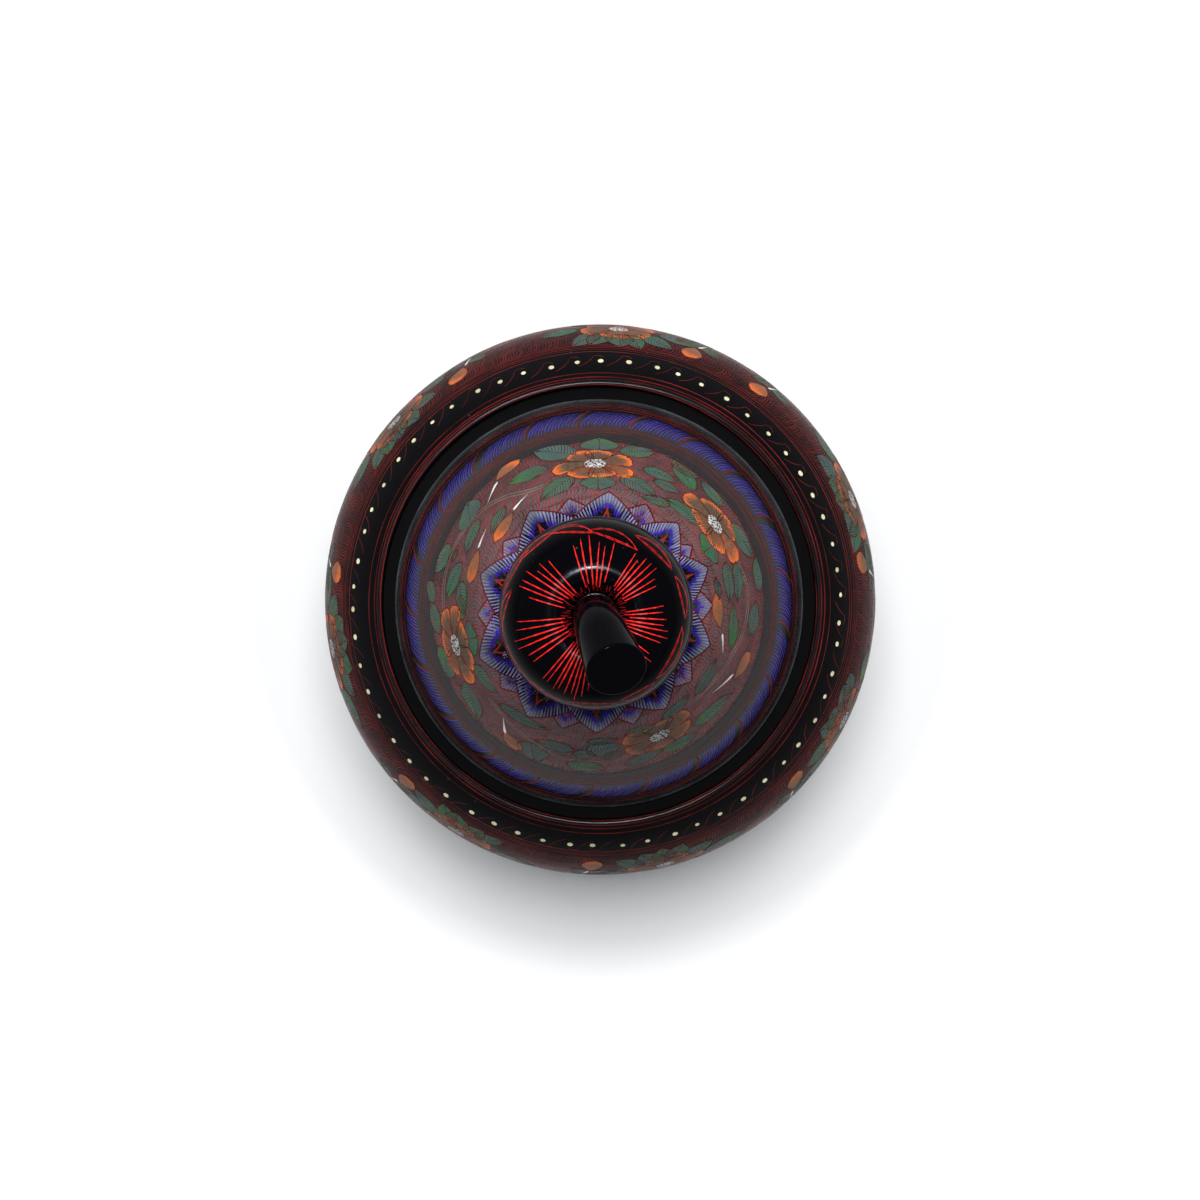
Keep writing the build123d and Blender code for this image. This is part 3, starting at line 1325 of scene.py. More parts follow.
@dataclass
class Pot:
    """The box itself: foot, bowl, shoulder, lip and the hollow inside."""

    belly_radius: float = 75.0
    belly_height: float = 60.0
    shoulder_rise: float = 58.0
    bowl_depth: float = 64.0
    foot_radius: float = 36.0
    foot_ring_width: float = 7.0
    foot_recess_depth: float = 2.0
    foot_edge: float = 0.8
    belly_wall: float = 7.5
    floor_thickness: float = 9.0
    neck_length: float = 9.0
    mouth_radius: float = 46.0
    lip_radius: float = 55.2
    lip_edge: float = 0.9
    seat_depth: float = 3.8
    mark_room: float = 0.07
    flowers: Sequence[float] = (22, 86, 139, 190, 238, 284, 334)
    buds: Sequence[float] = (6, 51, 68, 119, 172, 221, 267, 315)
    flower_travel: float = 91.5
    bud_travel: float = 98.0
    vine_leaves: int = 30
    band_low: float = 47.0
    band_high: float = 103.5
    mirror_travel: float = 150.0
    vine_sway: float = 5.5
    hand_seed: int = 11
    shoulder_lines: Sequence[Point] = (
        (104.0, 0.4), (104.8, 0.3), (105.6, 0.45), (106.6, 0.3), (107.8, 0.5),
    )
    lip_lines: Sequence[Point] = ((116.7, 0.13), (118.7, 0.16), (119.8, 0.12), (121.4, 0.15))
    lower_lines: Sequence[Point] = (
        (46.4, 0.5), (45.4, 0.35), (44.2, 0.55), (36.6, 0.6), (35.4, 0.45),
    )
    foot_lines: Sequence[Point] = (
        (10.0, 0.3), (12.0, 0.22), (13.4, 0.2), (22.0, 0.2), (23.2, 0.26),
    )
    dot_waves: Sequence[Point] = (
        (0, 112.3), (20, 113), (45, 113.2), (85, 111.7), (103, 112.8), (120, 111.2),
        (132, 109.9), (170, 110.5), (206, 109), (230, 109.9), (266, 111), (310, 111.2),
        (332, 110.1), (350, 112), (360, 112.3),
    )
    lower_dots: int = 46
    lower_dot_travel: float = 40.2
    # Painted light: flowers and buds between these angles, on the lamp's side, are painted
    # brighter.
    painted_light_side: Point = (10.0, 200.0)
    leaf_ring: Sequence[tuple] = (
        (0, 9.5, 12), (38, 6.2, 10), (-40, 6.2, 10), (90, 4.4, 8.5), (62, 5, 9),
        (118, 5, 9), (150, 6.2, 10), (184, 9.5, 12), (-68, 5, 9), (-100, 4.6, 9),
    )

    @property
    def seat_height(self) -> float:
        """Height of the flat seat that carries the lid."""
        reach = math.sqrt(1 - (self.lip_radius / self.belly_radius) ** 2)
        return self.belly_height + self.shoulder_rise * reach - self.seat_depth

    def outside(self) -> list[Point]:
        """The outer line from the foot's edge to the lip, with room for the marks."""
        centre = (-self.mark_room, self.belly_height)
        foot_angle = -math.degrees(math.acos(self.foot_radius / self.belly_radius))
        lip_start = self.lip_radius + self.lip_edge * 1.5
        lip_angle = math.degrees(math.acos(lip_start / self.belly_radius))
        bowl = ellipse_arc(centre, (self.belly_radius, self.bowl_depth), foot_angle, 0, 60)
        shoulder = ellipse_arc(centre, (self.belly_radius, self.shoulder_rise), 0, lip_angle, 48)
        lip_centre = (self.lip_radius + self.lip_edge, shoulder[-1][1] - self.lip_edge * 0.55)
        lip = ellipse_arc(lip_centre, (self.lip_edge, self.lip_edge), 60, 180, 8)
        foot_centre = (self.foot_radius - self.foot_edge, self.foot_edge)
        foot = ellipse_arc(foot_centre, (self.foot_edge, self.foot_edge), -90, 0, 5)
        return foot + bowl + shoulder[1:] + lip[1:]

    def inside(self) -> list[Run]:
        """The seat, the mouth and hollow, and the underside."""
        inner_radius = self.belly_radius - self.belly_wall
        neck_foot = self.seat_height - self.neck_length
        mouth_share = math.sqrt(1 - (self.mouth_radius / inner_radius) ** 2)
        inner_rise = (neck_foot - self.belly_height) / mouth_share
        centre = (0.0, self.belly_height)
        mouth_angle = math.degrees(math.acos(self.mouth_radius / inner_radius))
        ceiling = ellipse_arc(centre, (inner_radius, inner_rise), mouth_angle, 0, 24)
        floor_depth = self.belly_height - self.floor_thickness
        bowl = ellipse_arc(centre, (inner_radius, floor_depth), 0, -90, 48)
        recess_radius = self.foot_radius - self.foot_ring_width
        seat = [(self.lip_radius, self.seat_height), (self.mouth_radius, self.seat_height)]
        recess = [
            (0.0, self.foot_recess_depth),
            (recess_radius * 0.5, self.foot_recess_depth),
            (recess_radius, self.foot_recess_depth),
            (recess_radius, 0.0),
        ]
        ring = [(recess_radius, 0.0), (self.foot_radius - self.foot_edge, 0.0)]
        hollow = [seat[-1], *ceiling, *bowl[1:]]
        return [Run(seat, 3), Run(hollow, 1), Run(recess, 2), Run(ring, 2)]

    def build(self) -> bpy.types.Object:
        """Model the pot in place of its node."""
        piece = turned("pot", [Run(self.outside()), *self.inside()])
        # The seat's finish carries painted shade.
        finishes = (POT_LACQUER, INNER_LACQUER, BARE_WOOD, SEAT_LACQUER_PAINTED_DARK)
        dress(piece, finishes, Body.BOX, "body")
        return piece

    def lit(self, angle: float) -> bool:
        """Whether an angle is on the side whose flowers are painted brighter, as if the lamp lit
        them more.
        """
        return self.painted_light_side[0] < angle < self.painted_light_side[1]

    def leaves_round(self, pen: Pen, angle: float, travel: float, side: int) -> None:
        """Lay the leaves that stand round one flower.

        Args:
            pen: The pen.
            angle: The flower's angle.
            travel: The flower's travel.
            side: 1 where the band's edge lies above the flower, -1 where it lies below.
        """
        for turn, reach, length in self.leaf_ring:
            turn = side * turn + pen.shift(7)
            own = Spot(pen.profile, angle, travel, turn)
            foot = own.lay(np.array([reach * 1.12]), np.array([0.0]))[0]
            leaf = Leaf(pen.vary(length, 0.12), pen.vary(3.6, 0.15), pen.hand.uniform(0.15, 1))
            leaf.draw(pen, Spot(pen.profile, foot[0], foot[1], turn))

    def cluster(self, pen: Pen, angle: float, travel: float, side: int, glow: float) -> None:
        """Lay one flower with its ring of leaves.

        Args:
            pen: The pen.
            angle: Its angle.
            travel: Its travel.
            side: 1 where the band's edge lies above it, -1 where it lies below.
            glow: How bright it is painted, 0 to 1; painted light where it follows the lit side.
        """
        self.leaves_round(pen, angle, travel, side)
        petals = pen.hand.choice((6, 6, 7))
        blossom = Blossom(10.8, 8.2, petals, glow, pen.hand.uniform(0, 60))
        blossom.draw(pen, Spot(pen.profile, angle, travel))

    def sprig(self, pen: Pen, angle: float, travel: float, side: int, glow: float) -> None:
        """Lay one bud with its white stroke and two small leaves.

        Args:
            pen: The pen.
            angle: Its angle.
            travel: Its travel.
            side: 1 where the band's edge lies above it, -1 where it lies below.
            glow: How bright it is painted, 0 to 1; painted light where it follows the lit side.
        """
        turn = side * (68 + pen.shift(14))
        Bud(8.6, 2.9, glow).draw(pen, Spot(pen.profile, angle + 1.2, travel - side * 4, turn))
        start = (angle - 1.2, travel - side * 11)
        Glint(start, (angle + 0.6, travel - side * 5)).draw(pen)
        for lean in (128, 30):
            turn = side * (lean + pen.shift(12))
            foot = travel - side * (10 + pen.shift(1.5))
            leaf = Leaf(pen.vary(8.5, 0.1), 2.5, pen.hand.uniform(0.3, 1))
            leaf.draw(pen, Spot(pen.profile, angle, foot, turn))

    def ornament(self, pen: Pen) -> None:
        """Draw the floral band, the dots and the turned lines.

        Args:
            pen: The pen.
        """
        ScaleGround(self.band_low, self.band_high, half=0.125, tone=0.36).draw(pen)
        waist = self.mirror_travel / 2
        knots = [(0.0, waist)]
        for index, angle in enumerate(sorted([*self.flowers, *self.buds])):
            knots.append((angle, waist + (self.vine_sway if index % 2 else -self.vine_sway)))
        knots.append((TURN, waist))
        Vine(knots).draw(pen)
        for angle in self.flowers:
            # Painted light: flowers on the lamp's side get a brighter glow than the rest.
            glow = 0.9 if self.lit(angle) else 0.6
            self.cluster(pen, angle, self.flower_travel, 1, glow)
        nexts = [*self.flowers[1:], self.flowers[0] + TURN]
        for angle, after in zip(self.flowers, nexts):
            low = self.mirror_travel - self.flower_travel
            self.cluster(pen, (angle + after) / 2, low, -1, 0.8)
            turn = pen.shift(20)
            for lean, along in ((turn, -3), (180 + turn, 3)):
                place = waist + 4 + pen.shift(2)
                spot = Spot(pen.profile, (angle + after) / 2 + along, place, lean)
                Leaf(9.5, 2.6, pen.hand.uniform(0.3, 1)).draw(pen, spot)
        for step in range(self.vine_leaves):
            angle = TURN * (step + 0.5) / self.vine_leaves
            side = 1 if step % 2 else -1
            travel = float(np.interp(angle, *zip(*knots))) + side * 1.2
            turn = side * (42 + pen.shift(14))
            leaf = Leaf(pen.vary(8.5, 0.12), 2.5, pen.hand.uniform(0.1, 0.9))
            leaf.draw(pen, Spot(pen.profile, angle, travel, turn))
        for angle in self.buds:
            # Painted light: buds on the lamp's side get a brighter glow than the rest.
            glow = 0.9 if self.lit(angle) else 0.55
            self.sprig(pen, angle, self.bud_travel, 1, glow)
            self.sprig(pen, angle, self.mirror_travel - self.bud_travel, -1, 0.75)
        for travel, tone in self.shoulder_lines:
            pen.ring(Ink.MAROON, travel, 0.13, tone)
        for travel, half in self.lip_lines:
            pen.ring(Ink.MAROON, travel, half, 0.38, 0.25)
        DotRope(self.dot_waves).draw(pen)
        for travel, tone in self.lower_lines:
            pen.ring(Ink.MAROON, travel, 0.18, tone)
        waves = tuple(
            (angle, self.lower_dot_travel + 0.4 * math.sin(angle / 23))
            for angle in range(0, 361, 20)
        )
        DotRope(waves, self.lower_dots).draw(pen)
        for travel, half in self.foot_lines:
            pen.ring(Ink.MAROON, travel, half, 0.75, 0.15)

    def decorate(self) -> None:
        """Make the ornament's pieces."""
        pen = Pen(Profile(self.outside()), self.hand_seed)
        self.ornament(pen)
        pen.pieces("pot", Body.BOX)


@dataclass
class Lid:
    """The domed lid with its flange and its blind hole for the knob."""

    seat_height: float
    mouth_radius: float
    rim_radius: float = 52.2
    rim_height: float = 2.4
    rim_edge: float = 0.8
    flank_inset: float = 0.6
    flank_top_radius: float = 26.3
    flank_height: float = 61.0
    flank_bulge: float = 2.6
    crown_turn_radius: float = 9.0
    crown_thickness: float = 12.0
    flange_clearance: float = 0.35
    flange_wall: float = 3.2
    flange_depth: float = 7.0
    dome_wall: float = 6.5
    dome_bulge: float = 1.2
    hole_radius: float = 5.65
    hole_depth: float = 8.6
    flange_lead: float = 0.6
    rim_shoulder: float = 0.4
    hand_seed: int = 7
    # Painted reflection: the rim's grey skin, palest at its foot, paints the sheen that the steep
    # lacquer shows there.
    rim_painted_sheen: Point = (2.9, 12.0)
    rim_painted_sheen_tones: Point = (0.4, 0.12)
    flower_wash: Point = (42.0, 76.0)
    flower_wash_tones: Point = (0.1, 1.0)
    violet_band: Point = (17.2, 30.4)
    net: Point = (42.2, 74.0)
    spikes: int = 46
    spike_ends: Point = (40.8, 43.0)
    leaf_growth: Point = (1.04, 1.14)
    rim_lines: Sequence[Point] = ((9.6, 0.45), (11.4, 0.7), (13.2, 0.45), (15.4, 0.6))
    band_lines: Sequence[Point] = (
        (31.6, 0.5), (32.9, 0.65), (34.2, 0.4), (35.6, 0.6), (37.0, 0.45),
    )
    # The glow column of flowers and of buds is painted light: those on the north side, towards the
    # lamp, are painted brighter than those away from it.
    flowers: Sequence[tuple] = (
        (35.9, 55.2, 6, 1.0),
        (90.8, 55.0, 7, 1.0),
        (194.3, 54.4, 7, 0.75),
        (296.4, 57.3, 6, 0.5),
    )
    buds: Sequence[tuple] = (
        (128.6, 44.4, 204, 1.0, (136.4, 51.4), (128.4, 45.4)),
        (130.6, 64.0, 22, 0.8, (121.0, 61.1), (130.0, 63.4)),
        (152.8, 62.0, 8, 0.6, (144.0, 59.9), (152.6, 61.6)),
        (233.4, 50.0, -58, 0.45, (229.3, 56.0), (233.6, 48.9)),
        (332.6, 50.2, -28, 0.5, (324.0, 56.9), (334.3, 51.8)),
        (351.6, 66.0, 18, 0.4, (341.0, 61.9), (349.4, 64.8)),
    )
    vines: Sequence[tuple] = (
        ((113.5, 61.0), (121, 59.6), (130, 55), (139, 51.6), (150, 49.4), (163, 48.4), (180, 50)),
        ((180, 50.0), (186, 51.5), (191, 54)),
        ((219, 58.6), (230, 56.5), (243, 53.5), (254, 50.6), (266, 49.6), (278, 51), (290, 55)),
        ((318, 62.0), (328, 60), (340, 57), (351, 53.8), (360, 52.2), (369, 51.6), (378, 54)),
    )
    leaves: Sequence[tuple] = (
        (32.2, 48.6, 10.3, -151, 3.2, 0.4), (39.5, 46.5, 8.0, -29, 2.5, 0.6),
        (50.8, 51.2, 11.9, -43, 2.7, 1.0), (19.0, 54.6, 9.3, 164, 2.4, 0.4),
        (20.4, 59.7, 9.1, 162, 2.5, 0.4), (28.9, 61.2, 6.6, 90, 3.4, 1.0),
        (39.5, 61.6, 10.0, 18, 2.5, 0.6), (15.4, 67.0, 4.9, 176, 1.3, 0.3),
        (82.0, 48.2, 10.0, -151, 2.7, 0.6), (89.2, 47.6, 7.6, -88, 4.0, 0.7),
        (98.1, 49.5, 13.0, -36, 3.6, 0.5), (109.2, 53.2, 10.4, -16, 2.8, 1.0),
        (72.3, 54.2, 8.7, -172, 2.3, 0.6), (66.5, 58.2, 6.8, -170, 2.0, 0.4),
        (80.3, 60.9, 9.7, 155, 2.8, 0.4), (89.6, 61.4, 6.8, 91, 3.6, 0.5),
        (100.0, 61.0, 9.8, 32, 2.9, 0.4), (146.3, 51.5, 10.7, -102, 3.6, 0.4),
        (142.8, 52.9, 8.9, 27, 2.3, 0.4), (156.8, 46.9, 8.9, -33, 2.8, 0.7),
        (160.7, 56.5, 10.4, -22, 2.6, 1.0), (168.6, 58.0, 8.1, 35, 2.5, 1.0),
        (131.7, 59.1, 7.4, 28, 1.9, 0.4), (157.1, 51.6, 3.2, -20, 1.1, 0.4),
        (177.5, 44.6, 8.3, -124, 2.1, 0.4), (188.9, 46.9, 9.3, -144, 2.6, 0.4),
        (195.8, 47.2, 7.7, -48, 3.9, 1.0), (209.6, 52.4, 12.0, -41, 3.2, 0.4),
        (192.7, 60.7, 6.3, 89, 3.6, 0.9), (203.8, 60.6, 8.8, 23, 2.6, 0.3),
        (184.5, 61.4, 6.2, -162, 2.0, 0.9), (223.9, 60.0, 12.3, 25, 2.4, 0.1),
        (243.1, 52.7, 11.1, -68, 3.6, 0.3), (259.0, 48.4, 9.6, -29, 3.1, 0.7),
        (260.8, 57.3, 9.7, -163, 2.4, 0.2), (260.2, 54.6, 5.3, -3, 2.5, 0.1),
        (265.6, 56.0, 8.4, 20, 3.6, 0.2), (294.4, 49.9, 10.3, -160, 2.6, 0.2),
        (294.3, 48.5, 9.4, -13, 3.0, 0.7), (265.6, 61.7, 7.1, 14, 1.6, 0.2),
        (309.7, 52.6, 12.2, -33, 2.8, 0.7), (282.5, 64.0, 7.3, 7, 2.1, 0.5),
        (300.4, 64.5, 8.3, 12, 2.1, 0.3), (318.6, 63.3, 9.5, 12, 2.3, 0.3),
        (343.3, 58.5, 10.6, 5, 2.2, 0.9), (350.2, 49.7, 8.2, -22, 2.8, 0.3),
        (279.2, 55.9, 5.7, -139, 1.6, 0.2), (55.0, 64.5, 7.0, 24, 1.8, 0.4),
        (6.0, 45.5, 8.5, -28, 2.4, 0.7), (62.0, 46.0, 7.0, -148, 2.0, 0.4),
    )
    petal_tips: Sequence[Point] = (
        (21, 69.0), (47, 69.0), (84, 69.0), (124, 68.6), (163, 67.2), (202, 65.2), (237, 65.2),
        (270, 67.4), (305, 68.6), (343, 69.0),
    )

    def outside(self) -> list[Point]:
        """The outer line from the seat to the edge of the hole in the crown."""
        rim_top = self.seat_height + self.rim_height
        foot = (self.rim_radius - self.flank_inset, rim_top)
        top = (self.flank_top_radius, rim_top + self.flank_height)
        edge = (self.rim_edge, self.rim_edge)
        rim_centre = (self.rim_radius - self.rim_edge, self.seat_height + self.rim_edge)
        rim = ellipse_arc(rim_centre, edge, -90, 0, 6)
        flank = bulged_arc(foot, top, self.flank_bulge, 60)
        slope = arc_end_slope(bulged_arc(foot, top, self.flank_bulge, 600))
        turn_centre = (
            top[0] - self.crown_turn_radius * math.sin(math.radians(slope)),
            top[1] - self.crown_turn_radius * math.cos(math.radians(slope)),
        )
        turn = (self.crown_turn_radius, self.crown_turn_radius)
        crown = ellipse_arc(turn_centre, turn, 90 - slope, 90, 16)
        soft = self.rim_shoulder * 0.3
        shoulder = [
            (self.rim_radius, rim_top - self.rim_shoulder),
            (self.rim_radius - soft, rim_top - soft),
        ]
        return rim + shoulder + flank + crown[1:] + [(self.hole_radius, crown[-1][1])]

    @property
    def crown_height(self) -> float:
        """Height of the flat crown."""
        return self.outside()[-1][1]

    def inside(self) -> list[Run]:
        """The hollow with its flange, from the axis back to the seat."""
        flange_radius = self.mouth_radius - self.flange_clearance
        hollow_radius = flange_radius - self.flange_wall
        flange_foot = self.seat_height - self.flange_depth
        ceiling = self.crown_height - self.crown_thickness
        dome_top = (self.flank_top_radius - self.dome_wall, ceiling)
        dome = bulged_arc((hollow_radius, self.seat_height), dome_top, self.dome_bulge, 24)
        hollow = [(0.0, ceiling), *reversed(dome), (hollow_radius, flange_foot)]
        flange = [
            (hollow_radius, flange_foot),
            (flange_radius - self.flange_lead, flange_foot),
            (flange_radius, flange_foot + self.flange_lead),
            (flange_radius, self.seat_height),
            (self.rim_radius - self.rim_edge, self.seat_height),
        ]
        return [Run(hollow, 1), Run(flange, 2)]

    def build(self) -> bpy.types.Object:
        """Model the lid in place of its node."""
        hole_foot = self.crown_height - self.hole_depth
        hole = [(self.hole_radius, hole_foot), (0.0, hole_foot)]
        runs = [Run(self.outside()), Run(hole, 2), *self.inside()]
        piece = turned("lid_dome", runs)
        finishes = (LID_LACQUER, INNER_LACQUER, BARE_WOOD)
        dress(piece, finishes, Body.LID, "lid")
        return piece

    def ticks(self, pen: Pen) -> None:
        """Lay the ring of small spiky scratches over the floral band.

        Args:
            pen: The pen.
        """
        for tick in range(self.spikes):
            angle = TURN * tick / self.spikes + pen.shift(1.2)
            low = self.spike_ends[0] + pen.shift(0.3)
            high = self.spike_ends[1] + pen.shift(0.5)
            pen.flick(Ink.MAROON, (angle, low), (angle + 7.5, high), 0.2, 0.5, Layer.VINE, 0.05, 5)
            for step in range(2):
                start = (angle + 3.2 + 2 * step, low + 0.4)
                end = (angle + 4.6 + 2 * step, low - 0.5 + pen.shift(0.3))
                pen.flick(Ink.MAROON, start, end, 0.13, 0.5, Layer.VINE, 0.0, 3)

    def ornament(self, pen: Pen) -> None:
        """Draw the bands, the flowers and the lotus petals.

        Args:
            pen: The pen.
        """
        for travel, tone in self.rim_lines:
            pen.ring(Ink.MAROON, travel, 0.2, tone)
        LeafBand(*self.violet_band).draw(pen)
        for travel, tone in self.band_lines:
            pen.ring(Ink.MAROON, travel, 0.15, tone)
        self.ticks(pen)
        # Painted reflection: grey sheen on the rim.
        Wash(*self.rim_painted_sheen, self.rim_painted_sheen_tones).draw(pen)
        Wash(*self.flower_wash, self.flower_wash_tones).draw(pen)
        ScaleGround(*self.net, pitch=0.85, row=4.2, curved_from=68.0).draw(pen)
        for points in self.vines:
            Vine(points).draw(pen)
        longer, wider = self.leaf_growth
        for angle, travel, length, turn, half, bright in self.leaves:
            veins = 13 if length > 9 else 10
            leaf = Leaf(length * longer, half * wider, bright, veins)
            leaf.draw(pen, Spot(pen.profile, angle, travel, turn))
        # glow is painted light, brighter on the lamp's side.
        for angle, travel, petals, glow in self.flowers:
            blossom = Blossom(petals=petals, glow=glow, start=pen.hand.uniform(0, 40))
            blossom.draw(pen, Spot(pen.profile, angle, travel))
        # glow is painted light, brighter on the lamp's side.
        for angle, travel, turn, glow, start, end in self.buds:
            Bud(8.4, 2.7, glow).draw(pen, Spot(pen.profile, angle, travel, turn))
            Glint(start, end).draw(pen)
        LotusCrown(self.petal_tips).draw(pen)

    def decorate(self) -> None:
        """Make the ornament's pieces."""
        pen = Pen(Profile(self.outside()), self.hand_seed)
        self.ornament(pen)
        pen.pieces("lid", Body.LID)


@dataclass
class Knob:
    """The ball knob with its dimple."""

    crown_height: float
    radius: float = 20.8
    neck_radius: float = 10.5
    neck_height: float = 1.6
    lower_height: float = 13.0
    upper_height: float = 16.5
    top_radius: float = 9.5
    dimple_depth: float = 4.5
    dimple_floor_radius: float = 4.6
    tenon_radius: float = 5.5
    tenon_length: float = 8.0
    tenon_chamfer: float = 0.6
    peg_hole_radius: float = 3.15
    peg_hole_depth: float = 9.6
    segments: int = 192
    hand_seed: int = 3
    strands: Sequence[float] = (-2.3, -1.9, 1.2, 0.7)
    spray_foot: float = 43.6
    spray_half: float = 0.13
    dimple_scratches: int = 64
    dimple_travel: float = 42.4
    loops: Sequence[tuple] = (
        (358, 386, 28.3, 28.6), (30, 63, 28.8, 28.6), (57, 94, 33.0, 30.6), (92, 120, 31.2, 26.4),
        (117, 145, 26.8, 26.4), (137, 168, 26.2, 25.4), (164, 196, 29.2, 22.4),
        (193, 219, 24.6, 24.4), (220, 250, 25.4, 25.8), (253, 283, 27.2, 27.6),
        (286, 311, 28.2, 28.2), (313, 352, 28.8, 29.2),
    )
    sprays: Sequence[tuple] = (
        (352, 7, 29, 34.5), (42, 7, 29, 34.0), (91, 6, 31, 33.0), (148, 7, 33, 33.0),
        (201, 6, 30, 31.5), (248, 9, 33, 30.5), (317, 4, 16, 34.5),
    )

    @property
    def waist_height(self) -> float:
        """Height of the ball's widest ring."""
        return self.crown_height + self.neck_height + self.lower_height

    @property
    def dimple_height(self) -> float:
        """Height of the dimple's floor."""
        return self.waist_height + self.upper_height - self.dimple_depth

    def outside(self) -> list[Point]:
        """The outer line from the neck to the dimple's floor."""
        lower_centre = (self.neck_radius, self.waist_height)
        lower_radii = (self.radius - self.neck_radius, self.lower_height)
        lower = ellipse_arc(lower_centre, lower_radii, -90, 0, 28)
        upper_radii = (self.radius - self.top_radius, self.upper_height)
        upper = ellipse_arc((self.top_radius, self.waist_height), upper_radii, 0, 90, 36)
        dimple_radii = (self.top_radius - self.dimple_floor_radius, self.dimple_depth)
        dimple = ellipse_arc((self.top_radius, self.dimple_height), dimple_radii, 90, 180, 16)
        return lower + upper[1:] + dimple[1:]

    def build(self) -> bpy.types.Object:
        """Model the knob in place of its node."""
        crown = self.crown_height
        tenon_foot = crown - self.tenon_length
        tenon = [
            (0.0, tenon_foot),
            (self.tenon_radius - self.tenon_chamfer, tenon_foot),
            (self.tenon_radius, tenon_foot + self.tenon_chamfer),
            (self.tenon_radius, crown),
        ]
        neck = [(self.tenon_radius, crown), (self.neck_radius, crown)]
        peg_foot = self.dimple_height - self.peg_hole_depth
        hole = [
            (self.peg_hole_radius, self.dimple_height),
            (self.peg_hole_radius, peg_foot),
            (0.0, peg_foot),
        ]
        runs = [Run(tenon, 1), Run(neck), Run([*self.outside(), hole[0]]), Run(hole, 1)]
        piece = turned("knob_ball", runs, self.segments)
        dress(piece, (KNOB_LACQUER, BARE_WOOD), Body.LID, "knob")
        return piece

    def loop(self, pen: Pen, first: float, last: float, low: float, high: float) -> None:
        """Lay one eye of the ring of loops, in doubled scratches.

        Args:
            pen: The pen.
            first: Angle of its first end.
            last: Angle of its last end.
            low: Travel of its first end.
            high: Travel of its last end.
        """
        share = np.linspace(0, 1, 19)
        bow = np.sin(math.pi * share)
        for strand in self.strands:
            depth = pen.vary(strand, 0.12)
            tilt = pen.shift(0.5)
            line = drawn(
                first + (last - first) * share + pen.shift(1.0),
                low + (high - low) * share + depth * bow**0.85 + tilt * (share - 0.5),
            )
            width = (0.07 + 0.06 * bow) * (1 + 0.3 * np.sin(share * 55 + depth))
            tones = 0.55 + 0.3 * np.sin(share * 31 + low)
            pen.draw(Ink.RED, line, width, tones, Layer.LINE)

    def spray(self, pen: Pen, middle: float, strokes: int, spread: float, reach: float) -> None:
        """Lay one bundle of scratches that runs down from the dimple.

        Args:
            pen: The pen.
            middle: Its angle.
            strokes: Number of scratches.
            spread: Its width at the far end, in degrees.
            reach: Travel of its far end.
        """
        for stroke in range(strokes):
            aside = stroke / (strokes - 1) - 0.5
            end = reach - 1.6 + 5.0 * abs(aside) ** 1.6 + pen.hand.uniform(0, 2.4)
            start_angle = middle + spread * aside * 1.05 + pen.shift(1.0)
            end_angle = middle + spread * aside * 1.06 + pen.shift(1.0)
            share = np.linspace(0, 1, 17)
            foot = self.spray_foot
            line = drawn(
                start_angle + (end_angle - start_angle) * share,
                foot + pen.shift(0.9) + (end - foot) * share,
            )
            ragged = 1 + 0.22 * np.sin(share * 61 + stroke) + 0.15 * np.sin(share * 97 + stroke)
            swell = np.sin(math.pi * np.clip(0.18 + 0.78 * share, 0, 0.98)) ** 0.5
            tones = np.clip(0.75 + 0.3 * np.sin(share * 23 + stroke * 1.7), 0, 1)
            pen.draw(Ink.RED, line, self.spray_half * swell * ragged, tones, Layer.LINE)

    def decorate(self) -> None:
        """Make the ornament's piece."""
        pen = Pen(Profile(self.outside()), self.hand_seed)
        for loop in self.loops:
            self.loop(pen, *loop)
        for spray in self.sprays:
            self.spray(pen, *spray)
        for scratch in range(self.dimple_scratches):
            angle = TURN * scratch / self.dimple_scratches + pen.shift(2)
            low = self.dimple_travel + pen.hand.uniform(0, 2.5)
            end = (angle + pen.shift(4), low + pen.hand.uniform(1.5, 3.0))
            pen.flick(Ink.RED, (angle, low), end, 0.1, 0.15, Layer.LINE, 0.0, 3)
        pen.pieces("knob", Body.LID)


